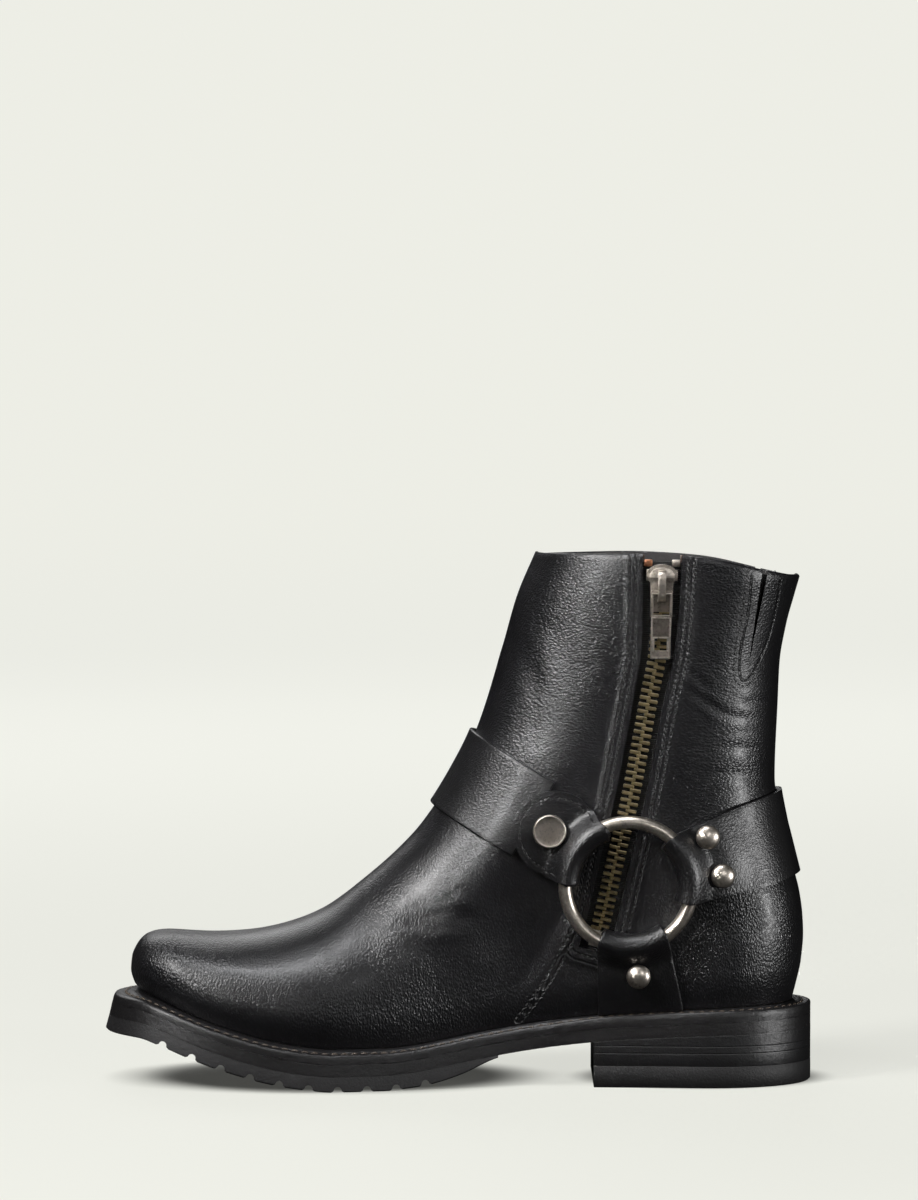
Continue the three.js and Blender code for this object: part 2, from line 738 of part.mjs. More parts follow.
// Strap that goes round the front or back of the boot, seen from the side as a straight band
function band(start, angle) {
  const along = new THREE.Vector2(Math.cos(radians(angle)), Math.sin(radians(angle)));
  const aside = new THREE.Vector2(-along.y, along.x);
  const at = (distance, offset) => ({
    x: start.x + along.x * distance + aside.x * offset,
    z: start.z + along.y * distance + aside.y * offset,
  });
  const outside = (place) => {
    const up = place.z - featherZ(place.x);
    return place.x > frontX(up) || place.x < backX(up);
  };
  const reach = (offset) => {
    let low = 0;
    let high = bootLength / 2;
    for (let i = 0; i < 40; i++) {
      const middle = (low + high) / 2;
      if (outside(at(middle, offset))) high = middle;
      else low = middle;
    }
    return low;
  };
  return { at, reach };
}

// Points on the skin from the inner side's start, round the middle plane, to the outer side's start
function bandRow(line, offset, startIn, startOut, steps) {
  const far = line.reach(offset);
  const points = [];
  for (let k = -steps; k <= steps; k++) {
    const side = k < 0 ? MEDIAL : LATERAL;
    const start = k < 0 ? startIn : startOut;
    const share = (k / steps) ** 2;
    const place = line.at(lerp(far, start, share), offset);
    const point = skin(side, place.x, place.z);
    if (k === 0) point.y = ridgeY(place.x);
    points.push(point);
  }
  return points;
}
function liftGrid(grid, lift) {
  const normals = gridNormals(grid);
  const first = grid[1][1];
  const flip = first.clone().setX(0).setZ(0).dot(normals[1][1]) < 0 ? -1 : 1;
  return grid.map((row, i) => row.map((point, j) => point.clone().addScaledVector(normals[i][j], lift * flip)));
}

const bandStart = ringRadius + underLayer + 1 + 2 * stepBlend;
const bandSteps = 8;

// Rear strap: folded round both rings, and round the heel between them
function rearStrap(rings) {
  const line = band(ringSpot, rearAngle);
  const rows = [];
  for (let j = 0; j < rowCount; j++) {
    rows.push(bandRow(line, across(j, strapWidth), bandStart, bandStart, bandSteps));
  }
  const body = liftGrid(rows, singleLift);
  return sheet(body.map((row, j) => {
    const ends = rings.map((ring) =>
      foldedStrip(ring, foldAngle(j, rearAngle), line.at(bandStart, across(j, strapWidth)), false).points);
    return [...ends[0], ...row, ...ends[1].reverse()];
  }), strapThickness);
}

// Front strap: from under the snap tab, over the instep, and folded round the outer ring
function frontStrap(outerRing) {
  const start = { x: ringSpot.x, z: ringSpot.z + frontStrapOffset };
  const line = band(start, frontStrapAngle);
  const rows = [];
  for (let j = 0; j < rowCount; j++) {
    rows.push(bandRow(line, across(j, strapWidth), ringRadius + underLayer + 2, bandStart, bandSteps));
  }
  const body = liftGrid(rows, singleLift);
  return sheet(body.map((row, j) => {
    const aim = line.at(bandStart, across(j, strapWidth));
    return [...row, ...foldedStrip(outerRing, foldAngle(j, tabAngle), aim, false).points.reverse()];
  }), strapThickness);
}

// Snap tab: folded round the inner ring, over the end of the front strap, with a round end
function snapTab(ring) {
  const along = new THREE.Vector2(Math.cos(radians(tabAngle)), Math.sin(radians(tabAngle)));
  const half = strapWidth / 2;
  const rows = [];
  for (let j = 0; j < rowCount + 2; j++) {
    const share = j / (rowCount + 1);
    const turn = Math.PI * (share - 0.5);
    const offset = half * Math.sin(turn);
    const end = tabReach - half + half * Math.cos(turn) * 0.98;
    const aim = {
      x: ringSpot.x + along.x * end - along.y * offset,
      z: ringSpot.z + along.y * end + along.x * offset,
    };
    const angle = radians(tabAngle) + (foldSpan / 2) * Math.sin(turn);
    const { points, reach } = foldedStrip(ring, angle, aim, true);
    const count = 4 + wrapSteps + 1;
    const top = points.slice(0, count);
    const wire = ringPoint(ring, angle, ringRadius);
    for (let k = 1; k <= 5; k++) {
      const distance = lerp(2.5, reach, k / 5);
      const place = { x: lerp(wire.x, aim.x, distance / reach), z: lerp(wire.z, aim.z, distance / reach) };
      const wireLift = wire.clone().sub(skin(ring.side, wire.x, wire.z)).dot(skinNormal(ring.side, wire.x, wire.z));
      const rise = strapLift(distance, wireLift + foldRadius, true);
      top.push(lifted(ring.side, place.x, place.z, rise));
    }
    rows.push(top);
  }
  return sheet(ring.side === MEDIAL ? rows.reverse() : rows, strapThickness);
}

// Sole strap: folded round the ring's lowest part and run down to the welt
function soleStrap(ring) {
  const grid = [];
  for (let j = 0; j < rowCount; j++) {
    const x = ringSpot.x - 5 + across(j, strapWidth);
    const aim = { x, z: featherZ(x) + 2 * gap };
    const { points } = foldedStrip(ring, foldAngle(j, soleStrapAngle), aim, false);
    points.push(lifted(ring.side, aim.x, aim.z, singleLift));
    grid.push(points);
  }
  return sheet(ring.side === MEDIAL ? grid : grid.reverse(), strapThickness);
}

// Domed rivets and the flat snap cap stand on the straps
function turned(points, segments) {
  const lathe = new THREE.LatheGeometry(points.map(([r, h]) => new THREE.Vector2(r, h)), segments);
  lathe.rotateX(Math.PI / 2);
  return lathe;
}
const rivetHeight = 0.3 * rivetDiameter;
const capHeight = 0.12 * capDiameter;
const stud = (diameter, height, segments) => {
  const r = diameter / 2;
  return turned([[0, 0], [r, 0], [0.94 * r, 0.4 * height], [0.6 * r, 0.84 * height], [0, height]], segments);
};
const disc = (diameter, height, segments) => {
  const r = diameter / 2;
  return turned([[0, 0], [r, 0], [r, 0.5 * height], [0.9 * r, height], [0, 0.9 * height]], segments);
};

// Frame of a stud whose rim just clears the leather that it is set in
function seatOn(leather, side, spot, diameter) {
  const frame = skinFrame(side, spot.x, spot.z, 0);
  const base = new THREE.Vector3();
  const axes = [new THREE.Vector3(), new THREE.Vector3(), new THREE.Vector3()];
  base.setFromMatrixPosition(frame);
  frame.extractBasis(...axes);
  const surface = new THREE.Mesh(leather, new THREE.MeshBasicMaterial({ side: THREE.DoubleSide }));
  const height = 30;
  let highest = 0;
  for (let k = 0; k <= 12; k++) {
    const reach = k < 12 ? diameter / 2 : 0;
    const from = base.clone()
      .addScaledVector(axes[0], reach * Math.cos((Math.PI * k) / 6))
      .addScaledVector(axes[1], reach * Math.sin((Math.PI * k) / 6))
      .addScaledVector(axes[2], height);
    const hits = new THREE.Raycaster(from, axes[2].clone().negate()).intersectObject(surface);
    if (hits.length) highest = Math.max(highest, height - hits[0].distance);
  }
  return frame.setPosition(base.addScaledVector(axes[2], highest + gap));
}
const polar = (angle, distance) => ({
  x: ringSpot.x + distance * Math.cos(radians(angle)),
  z: ringSpot.z + distance * Math.sin(radians(angle)),
});

// Zip: an opening in the inner side, a tape behind it, teeth in it, and the slider near the top
const onSide = ({ along, up }) => ({ x: along * bootLength, z: seatHeight + up * upperRise });
const zipCurve = new THREE.CatmullRomCurve3(zipRows.map((row) => {
  const { x, z } = onSide(row);
  return new THREE.Vector3(x, 0, z);
}));
const zipLength = zipCurve.getLength();
const zipAt = (distance) => {
  const share = clamp(distance / zipLength, 0, 1);
  const point = zipCurve.getPointAt(share);
  const along = zipCurve.getTangentAt(share);
  return { x: point.x, z: point.z, aside: { x: -along.z, z: along.x } };
};
const beside = (place, offset) => ({ x: place.x + place.aside.x * offset, z: place.z + place.aside.z * offset });
const zipStart = 3;
const zipEnd = zipLength - 3;

function zipOpening() {
  const ends = [];
  const count = 14;
  for (const hand of [1, -1]) {
    const edge = [];
    for (let k = 0; k <= count; k++) {
      const distance = lerp(-2, zipEnd, k / count);
      const place = zipAt(Math.max(distance, 0));
      const half = lerp(zipGapTopWidth, zipGapWidth, smooth(distance, 0, 0.4 * zipLength)) / 2;
      const spot = beside(place, hand * half);
      edge.push(k === 0 ? { x: spot.x, z: spot.z + 6 } : spot);
    }
    ends.push(edge);
  }
  return sideCutter([...ends[0], ...ends[1].reverse()], MEDIAL);
}
function zipTape() {
  const grid = [];
  const rows = 14;
  const columns = 4;
  for (let k = 0; k <= rows; k++) {
    const distance = lerp(zipStart + 1, zipEnd + 3, k / rows);
    const half = lerp(zipGapTopWidth, zipGapWidth, smooth(distance, 0, 0.4 * zipLength)) / 2 + tapeMargin;
    const row = [];
    for (let c = 0; c <= columns; c++) {
      const spot = beside(zipAt(distance), lerp(half, -half, c / columns));
      row.push(lifted(MEDIAL, spot.x, spot.z, -(wall + gap + tapeThickness / 2)));
    }
    grid.push(row);
  }
  return sheet(grid, tapeThickness);
}
const teethLift = -(wall - toothThickness / 2) + gap / 2;
const zipHeading = (place) => new THREE.Vector3(-place.aside.z, 0, place.aside.x);
function zipBlock(distance, offset, size) {
  const place = zipAt(distance);
  const spot = beside(place, offset);
  const block = new THREE.BoxGeometry(size.across, size.along, size.thick);
  return block.applyMatrix4(skinFrame(MEDIAL, spot.x, spot.z, teethLift, zipHeading(place)));
}
const sliderPlace = zipStart + 7.5;
const sliderTail = 0.7 * sliderWidth;
const chainStart = sliderPlace + sliderTail + gap;
const chainEnd = zipLength - 12;

// Teeth of the two sides, one after the other along the middle of the zip
function zipChain() {
  const rings = [];
  const narrow = 0.08 * chainWidth;
  const wide = chainWidth / 2;
  const count = Math.floor((chainEnd - chainStart) / (toothPitch / 2));
  for (let k = 0; k < count; k++) {
    const left = k % 2 ? narrow : wide;
    const right = k % 2 ? wide : narrow;
    const place = zipAt(chainStart + (k * toothPitch) / 2);
    const a = beside(place, left);
    const b = beside(place, -right);
    const high = teethLift + toothThickness / 2;
    const low = teethLift - toothThickness / 2;
    rings.push([
      lifted(MEDIAL, b.x, b.z, high), lifted(MEDIAL, a.x, a.z, high),
      lifted(MEDIAL, a.x, a.z, low), lifted(MEDIAL, b.x, b.z, low),
    ]);
  }
  return ringsBar(rings);
}
const bottomStop = () =>
  zipBlock(zipLength - 8, 0, { across: 0.8 * chainWidth, along: chainWidth, thick: toothThickness });
const topStop = (hand) => zipBlock(zipStart + 1.4, hand * 5.4,
  { across: 0.5 * chainWidth, along: 0.4 * chainWidth, thick: 0.8 * toothThickness });

// Slider and pull are drawn in the zip's own frame: across, up the shaft and outward
const zipFrame = () => {
  const place = zipAt(sliderPlace);
  return skinFrame(MEDIAL, place.x, place.z, 0, zipHeading(place));
};
const bodyLow = 0.45;
const bodyHigh = 1.75;
const crownTop = 5;
const crownWidth = 0.3 * sliderWidth;
const flangeWidth = 0.9;
const flangeLength = 4.5;
const flangeDepth = 2.4;
const pivot = { y: -0.4 * sliderWidth, z: 3 };
function plate(points, low, high, holes = []) {
  const path = (list, kind) => {
    const drawn = new kind();
    list.forEach(([x, y], i) => (i ? drawn.lineTo(x, y) : drawn.moveTo(x, y)));
    drawn.closePath();
    return drawn;
  };
  const shape = path(points, THREE.Shape);
  shape.holes = holes.map((hole) => path(hole, THREE.Path));
  const block = new THREE.ExtrudeGeometry(shape, { depth: high - low, bevelEnabled: false });
  return block.translate(0, 0, low);
}
function zipSlider() {
  const half = sliderWidth / 2;
  const tail = 0.73 * half;
  const body = plate([[-half, 4], [-half, 0], [-tail, -sliderTail], [tail, -sliderTail], [half, 0], [half, 4]],
    bodyLow, bodyHigh);
  const inner = 1.5;
  const crown = plate([
    [2.5, 1.6], [1.5, crownTop], [-7.2, crownTop], [-8, 1.6],
    [pivot.y - inner - 0.6, 1.6], [pivot.y - inner, crownTop - 0.8],
    [pivot.y + inner, crownTop - 0.8], [pivot.y + inner, 1.6],
  ], -crownWidth / 2, crownWidth / 2);
  crown.applyMatrix4(new THREE.Matrix4().makeBasis(
    new THREE.Vector3(0, 1, 0), new THREE.Vector3(0, 0, 1), new THREE.Vector3(1, 0, 0)));
  const flanges = [-1, 1].map((hand) => {
    const flange = new THREE.BoxGeometry(flangeWidth, flangeLength, flangeDepth);
    return flange.translate(hand * (half - flangeWidth / 2), 1.7, bodyLow - 0.375 * flangeDepth);
  });
  return join([body, crown, ...flanges]).applyMatrix4(zipFrame());
}
const pullTilt = 3.2;
function zipPull() {
  const half = pullWidth / 2;
  const bar = 0.8;
  const windowHalf = half - 1.1;
  const box = (width, top, bottom) => [[-width, top], [-width, bottom], [width, bottom], [width, top]];
  const tab = plate(box(half, bar, bar - pullLength), -pullThickness / 2, pullThickness / 2, [
    box(windowHalf, -bar, -bar - 8),
    box(0.62 * half, -0.66 * pullLength, -0.85 * pullLength),
  ]);
  tab.rotateX(radians(pullTilt));
  tab.translate(0, pivot.y, pivot.z);
  return tab.applyMatrix4(zipFrame());
}

// Slit near the back of the shaft, and the gore sewn behind it
const slitWidth = 4;
const slitTop = onSide({ along: 0.0678, up: 0.9591 });
const slitTip = onSide({ along: 0.0939, up: 0.7271 });
function slitCutter(side) {
  const corner = (hand) => ({ x: slitTop.x + (hand * slitWidth) / 2, z: slitTop.z });
  return sideCutter([corner(-1), slitTip, corner(1)], side);
}
const goreThickness = 1.2;
const goreRows = [
  { up: 0.9177, from: 0.049, to: 0.0979 },
  { up: 0.8431, from: 0.0562, to: 0.1034 },
  { up: 0.7713, from: 0.0653, to: 0.1088 },
  { up: 0.6994, from: 0.0744, to: 0.1124 },
];
function gore(side) {
  const grid = goreRows.map(({ up, from, to }) => [0, 0.33, 0.67, 1].map((share) => {
    const { x, z } = onSide({ along: lerp(from, to, share), up });
    return lifted(side, x, z, -(wall + layerGap + goreThickness / 2));
  }));
  return sheet(side === MEDIAL ? grid : grid.reverse(), goreThickness);
}

const black = { color: 0x17181a, roughness: 0.5, metalness: 0 };
const dark = { color: 0x101010, roughness: 0.7, metalness: 0 };
const nickel = { color: 0x8d8579, roughness: 0.35, metalness: 1 };
const brassy = { color: 0x7b6a4c, roughness: 0.4, metalness: 1 };
const tan = { color: 0x8a6a4a, roughness: 0.8, metalness: 0 };

const parts = [];
const add = (name, geometry, look) => parts.push([name, geometry, look]);
const rings = [ringOn(MEDIAL), ringOn(LATERAL)];

add('upper', cut(upperShell(), [zipOpening(), slitCutter(MEDIAL), slitCutter(LATERAL)]), black);
add('insole', insole(), tan);
add('welt', weltRing(), dark);
add('midsole', midsole(), dark);
add('outsole', tread(), dark);
add('heel_stack', heelStack(), dark);
add('heel_lift', heelLift(), dark);
add('ring_medial', ringSolid(rings[0]), nickel);
add('ring_lateral', ringSolid(rings[1]), nickel);
add('rear_strap', rearStrap(rings), black);
add('front_strap', frontStrap(rings[1]), black);
add('snap_tab', snapTab(rings[0]), black);
add('sole_strap_medial', soleStrap(rings[0]), black);
add('sole_strap_lateral', soleStrap(rings[1]), black);
add('zip_tape', zipTape(), black);
add('zip_chain', zipChain(), brassy);
add('zip_slider', zipSlider(), nickel);
add('zip_pull', zipPull(), nickel);
add('zip_bottom_stop', bottomStop(), nickel);
add('zip_top_stop_front', topStop(1), brassy);
add('zip_top_stop_rear', topStop(-1), nickel);
add('gore_medial', gore(MEDIAL), black);
add('gore_lateral', gore(LATERAL), black);

const rearRivets = [{ angle: 148.5, distance: 34.8 }, { angle: 175.2, distance: 35.7 }];
const frontRivets = [{ angle: tabAngle + 14, distance: 35.2 }, { angle: tabAngle - 14, distance: 35.2 }];
const soleRivet = { angle: -96.7, distance: 36 };
const capSpot = { angle: 34.6, distance: 37.4 };
const leatherOf = (name) => parts.find((part) => part[0] === name)[1];
function addRivet(name, leather, side, { angle, distance }) {
  const frame = seatOn(leatherOf(leather), side, polar(angle, distance), rivetDiameter);
  add(name, stud(rivetDiameter, rivetHeight, 10).applyMatrix4(frame), nickel);
}
for (const [name, side] of [['medial', MEDIAL], ['lateral', LATERAL]]) {
  rearRivets.forEach((spot, i) => addRivet(`rivet_rear_${name}_${i + 1}`, 'rear_strap', side, spot));
  addRivet(`rivet_sole_strap_${name}`, `sole_strap_${name}`, side, soleRivet);
}
frontRivets.forEach((spot, i) => addRivet(`rivet_front_lateral_${i + 1}`, 'front_strap', LATERAL, spot));
const capFrame = seatOn(leatherOf('snap_tab'), MEDIAL, polar(capSpot.angle, capSpot.distance), capDiameter);
add('snap_cap', disc(capDiameter, capHeight, 18).applyMatrix4(capFrame), nickel);

const boot = new THREE.Group();
for (const [name, geometry, look] of parts) {
  geometry.computeVertexNormals();
  const mesh = new THREE.Mesh(geometry, new THREE.MeshStandardMaterial(look));
  mesh.name = name;
  boot.add(mesh);
}
const bounds = new THREE.Box3().setFromObject(boot);
boot.position.set(-(bounds.min.x + bounds.max.x) / 2, -(bounds.min.y + bounds.max.y) / 2, 0);

export default boot;
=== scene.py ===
# Looks of a harness ankle boot for the right foot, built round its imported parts.
# Lengths are in millimetres, measured from the back of the heel: toe +X, inner side +Y, up +Z.
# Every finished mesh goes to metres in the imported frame, whose origin is the middle of the footprint.

import math

import bpy
import numpy as np
from mathutils import Matrix, Vector, noise


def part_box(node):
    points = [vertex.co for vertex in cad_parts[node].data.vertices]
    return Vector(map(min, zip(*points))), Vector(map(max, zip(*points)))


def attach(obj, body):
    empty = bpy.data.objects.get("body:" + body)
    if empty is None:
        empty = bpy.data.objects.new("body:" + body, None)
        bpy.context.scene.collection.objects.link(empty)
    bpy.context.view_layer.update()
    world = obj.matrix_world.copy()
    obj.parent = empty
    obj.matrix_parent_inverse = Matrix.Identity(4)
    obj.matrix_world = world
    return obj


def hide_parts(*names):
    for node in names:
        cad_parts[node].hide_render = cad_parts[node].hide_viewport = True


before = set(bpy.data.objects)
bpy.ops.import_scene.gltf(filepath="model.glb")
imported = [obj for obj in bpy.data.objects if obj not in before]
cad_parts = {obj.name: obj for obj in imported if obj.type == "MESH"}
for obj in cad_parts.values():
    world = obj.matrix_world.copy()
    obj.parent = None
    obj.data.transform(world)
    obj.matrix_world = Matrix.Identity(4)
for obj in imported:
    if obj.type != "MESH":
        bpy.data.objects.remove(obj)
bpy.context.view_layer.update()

MEDIAL = 1
LATERAL = -1
MM = 0.001
NOISE_SEED = 11
noise.seed_set(NOISE_SEED)

# Driving sizes of the boot
BOOT_LENGTH = 275.7
UPPER_RISE = 181
BALL_WIDTH = 92
ANKLE_WIDTH = 65
COLLAR_WIDTH = 75
SEAT_HEIGHT = 31.4
BALL_HEIGHT = 15.9
TOE_RISE = 20.6
WALL = 2.2
GAP = 0.3
LAYER_GAP = 0.5

# Sole
WELT_THICKNESS = 5.2
WELT_SLOPE = 2
MIDSOLE_THICKNESS = 4.1
INSOLE_THICKNESS = 6
TOE_FLARE = 3.4
SIDE_FLARE = 1
HEEL_LENGTH = 85.5
LIFT_THICKNESS = 8.4
TREAD_START = 122.5
TREAD_END_THICKNESS = 1.8
TREAD_TAPER = 28
LUG_DEPTH = 2.8
LUG_PITCH = 11.3
LUG_GROOVE = 3
LUG_ROW = 22
LUG_RIB = 3

# Harness
STRAP_WIDTH = 33
STRAP_THICKNESS = 2
STRAP_GAP = 0.5
FOLD_SLACK = 1.1
FOLD_WIDTH = 27
UNDER_LAYER = 16
RING_DIAMETER = 54.2
RING_WIRE = 5.2
RIVET_DIAMETER = 9.4
CAP_DIAMETER = 13
RING_X = 0.2619 * BOOT_LENGTH
RING_Z = SEAT_HEIGHT + 0.2663 * UPPER_RISE
TAB_ANGLE = 35
REAR_ANGLE = 164
SOLE_STRAP_ANGLE = -95
FRONT_STRAP_ANGLE = 30.3
FRONT_STRAP_OFFSET = 3.3
TAB_REACH = 51

# Zip
ZIP_GAP = 11.6
ZIP_GAP_TOP = 15
TAPE_THICKNESS = 0.7
TAPE_MARGIN = 5
TOOTH_PITCH = 2.7
CHAIN_WIDTH = 6.5
TOOTH_THICKNESS = 1.9
SLIDER_WIDTH = 12
PULL_WIDTH = 8.5
PULL_LENGTH = 27
PULL_THICKNESS = 1.5


def table(columns, *rows):
    """Rows of numbers as named columns."""
    return dict(zip(columns.split(), np.array(rows, float).T))


FEATHER_ROWS = table(
    "along seat toe",
    (0.0, 1.0, 0), (0.11, 0.955, 0), (0.19, 0.9, 0), (0.27, 0.82, 0), (0.31, 0.76, 0),
    (0.385, 0.6, 0), (0.47, 0.36, 0), (0.52, 0.19, 0), (0.565, 0.06, 0), (0.605, 0, 0),
    (0.676, 0, 0), (0.705, 0, 0.035), (0.745, 0, 0.115), (0.775, 0, 0.2), (0.81, 0, 0.33),
    (0.845, 0, 0.475), (0.88, 0, 0.65), (0.916, 0, 0.84), (0.95, 0, 0.97), (1.0, 0, 1),
)
FRONT_ROWS = table(
    "up along",
    (0, 0.9507), (0.0166, 0.959), (0.042, 0.9634), (0.068, 0.9619), (0.094, 0.955),
    (0.117, 0.943), (0.135, 0.925), (0.15, 0.8995), (0.167, 0.8658), (0.203, 0.798),
    (0.2464, 0.7327), (0.28, 0.6917), (0.334, 0.6438), (0.386, 0.6025), (0.456, 0.5531),
    (0.553, 0.506), (0.641, 0.4741), (0.812, 0.4371), (0.912, 0.4175), (1, 0.3917),
)
BACK_ROWS = table(
    "up along",
    (0, 0.0272), (0.043, 0.02), (0.082, 0.0145), (0.1425, 0.0112), (0.181, 0.0123),
    (0.231, 0.0167), (0.276, 0.024), (0.337, 0.034), (0.403, 0.0445), (0.483, 0.0522),
    (0.646, 0.0482), (0.729, 0.0457), (0.807, 0.037), (0.873, 0.0254), (0.913, 0.0178),
)
COLLAR_ROWS = table(
    "along up",
    (0.0178, 0.913), (0.065, 0.931), (0.152, 0.9635),
    (0.23, 0.978), (0.3155, 0.988), (0.3917, 1),
)
PLAN_ROWS = table(
    "along medial lateral ridge",
    (0, 0.36, 0.36, 0), (0.13, 0.355, 0.355, 0), (0.26, 0.335, 0.362, 0),
    (0.38, 0.32, 0.386, 0.005), (0.49, 0.357, 0.43, 0.016), (0.6, 0.43, 0.485, 0.033),
    (0.69, 0.484, 0.505, 0.054), (0.745, 0.495, 0.484, 0.065), (0.82, 0.485, 0.435, 0.074),
    (0.89, 0.462, 0.37, 0.078), (0.97, 0.44, 0.31, 0.08),
)
SHAFT_ROWS = table("up ankle collar", (0, 1, 0), (0.33, 1, 0), (0.6, 0.7, 0.3), (1, 0, 1))
WELT_ROWS = table(
    "along out",
    (0.02, 7.5), (0.07, 6.3), (0.18, 5), (0.3, 4.2), (0.42, 3.8),
    (0.56, 4.8), (0.7, 6), (0.85, 7.5), (0.96, 10.2),
)
ZIP_ROWS = table(
    "up along",
    (0.1028, 0.3141), (0.1746, 0.3007), (0.3094, 0.2807), (0.4481, 0.2597), (0.5613, 0.2456),
    (0.6663, 0.2332), (0.7657, 0.2213), (0.8762, 0.2169), (0.9757, 0.2155),
)


def lerp(a, b, share):
    return a + (b - a) * share


def smooth(value, low, high):
    share = np.clip((value - low) / (high - low), 0, 1)
    return share * share * (3 - 2 * share)


def unit(vectors):
    return vectors / np.maximum(np.linalg.norm(vectors, axis=-1, keepdims=True), 1e-9)


def table_curve(rows, key, column):
    """Curve through a table's rows that never swings past them."""
    at, value = rows[key], rows[column]
    slope = np.diff(value) / np.diff(at)
    before, after = slope[:-1], slope[1:]
    total = np.where(before + after == 0, 1, before + after)
    middle = np.where(before * after <= 0, 0, 2 * before * after / total)
    tangent = np.concatenate([slope[:1], middle, slope[-1:]])

    def curve(where):
        place = np.clip(where, at[0], at[-1])
        i = np.clip(np.searchsorted(at, place) - 1, 0, len(at) - 2)
        step = at[i + 1] - at[i]
        t = (place - at[i]) / step
        rise = value[i + 1] - value[i]
        bend = t * (1 - t) * ((1 - t) * (tangent[i] * step - rise) - t * (tangent[i + 1] * step - rise))
        return value[i] + t * rise + bend

    return curve


seat_share = table_curve(FEATHER_ROWS, "along", "seat")
toe_share = table_curve(FEATHER_ROWS, "along", "toe")
front_share = table_curve(FRONT_ROWS, "up", "along")
back_share = table_curve(BACK_ROWS, "up", "along")
collar_share = table_curve(COLLAR_ROWS, "along", "up")
ankle_share = table_curve(SHAFT_ROWS, "up", "ankle")
collar_weight = table_curve(SHAFT_ROWS, "up", "collar")
welt_share = table_curve(WELT_ROWS, "along", "out")
medial_share = table_curve(PLAN_ROWS, "along", "medial")
lateral_share = table_curve(PLAN_ROWS, "along", "lateral")
ridge_share = table_curve(PLAN_ROWS, "along", "ridge")
zip_share = table_curve(ZIP_ROWS, "up", "along")


def feather_z(x):
    """Height of the line where upper and welt meet."""
    along = x / BOOT_LENGTH
    return BALL_HEIGHT + (SEAT_HEIGHT - BALL_HEIGHT) * seat_share(along) + TOE_RISE * toe_share(along)


def front_x(up):
    return BOOT_LENGTH * front_share(up / UPPER_RISE)


def back_x(up):
    return BOOT_LENGTH * back_share(up / UPPER_RISE)


def collar_up(x):
    return UPPER_RISE * collar_share(x / BOOT_LENGTH)


def ridge_y(x):
    return BALL_WIDTH * ridge_share(x / BOOT_LENGTH)


TOE_TURN = 0.042 * UPPER_RISE
FRONT_UPS = np.linspace(TOE_TURN, UPPER_RISE, 1501)
FRONT_XS = front_x(FRONT_UPS)


def top_up(x):
    """How high the upper is at a place along the foot."""
    inside = np.interp(x, FRONT_XS[::-1], FRONT_UPS[::-1])
    return np.where(x <= FRONT_XS[-1], UPPER_RISE + (FRONT_XS[-1] - x) * 6, inside)


# Roundings of the upper
ROUND_POWER = 2.15
TOE_ROUND = 0.42 * BALL_WIDTH
SHAFT_FRONT_ROUND = 0.64 * COLLAR_WIDTH
SHAFT_BACK_ROUND = 0.54 * COLLAR_WIDTH
HEEL_ROUND = 0.4 * BALL_WIDTH
CROWN_SHARE = 0.75
CROWN_MOST = 0.27 * UPPER_RISE
TUCK_SHARE = 0.08
TUCK_UP = 0.075 * UPPER_RISE


def half_width(side, x, up):
    """Distance of the skin from the ridge plane."""
    along = x / BOOT_LENGTH
    high = up / UPPER_RISE
    plan = np.where(side > 0, medial_share(along), lateral_share(along))
    foot = BALL_WIDTH * (plan - side * ridge_share(along))
    shaft = (ANKLE_WIDTH * ankle_share(high) + COLLAR_WIDTH * collar_weight(high)) / 2
    width = lerp(foot, shaft, smooth(high, 0.12, 0.46))
    ahead = np.maximum(front_x(up) - x, 1e-6)
    above = np.maximum(top_up(x) - up, 1e-6)
    forward_round = lerp(TOE_ROUND, SHAFT_FRONT_ROUND, smooth(high, 0.15, 0.5))
    crown = np.minimum(CROWN_SHARE * top_up(x), CROWN_MOST)
    front = 1 / np.hypot(forward_round / ahead, crown / above)
    rear = (x - back_x(up)) / lerp(HEEL_ROUND, SHAFT_BACK_ROUND, smooth(high, 0.2, 0.6))
    front_loss = (1 - np.minimum(front, 1)) ** ROUND_POWER
    rear_loss = (1 - np.clip(rear, 0, 1)) ** ROUND_POWER
    fullness = np.maximum(1 - front_loss - rear_loss, 0) ** (1 / ROUND_POWER)
    tuck = 1 - TUCK_SHARE * (1 - np.minimum(up / TUCK_UP, 1)) ** 2
    return width * fullness * tuck


def skin(side, x, z):
    x, z = np.broadcast_arrays(np.asarray(x, float), np.asarray(z, float))
    y = ridge_y(x) + side * half_width(side, x, z - feather_z(x))
    return np.stack([x, y, z], -1)


def skin_normal(side, x, z):
    reach = 1.5
    x, z = np.broadcast_arrays(np.asarray(x, float), np.asarray(z, float))
    along_x = skin(side, x + reach, z) - skin(side, x - reach, z)
    along_z = skin(side, x, z + reach) - skin(side, x, z - reach)
    return unit(np.cross(along_z, along_x) * np.asarray(side)[..., None])


def lifted(side, x, z, lift):
    return skin(side, x, z) + skin_normal(side, x, z) * np.asarray(lift, float)[..., None]


# Outlines of the sole's layers
def welt_out(x):
    return welt_share(x / BOOT_LENGTH)


def feather_point(side, t):
    x = lerp(back_x(0.0), front_x(0.0), (1 - np.cos(np.pi * t)) / 2)
    edge = np.where((t <= 0) | (t >= 1), 0, half_width(side, x, np.zeros_like(x)))
    return np.stack([x, ridge_y(x) + side * edge], -1)


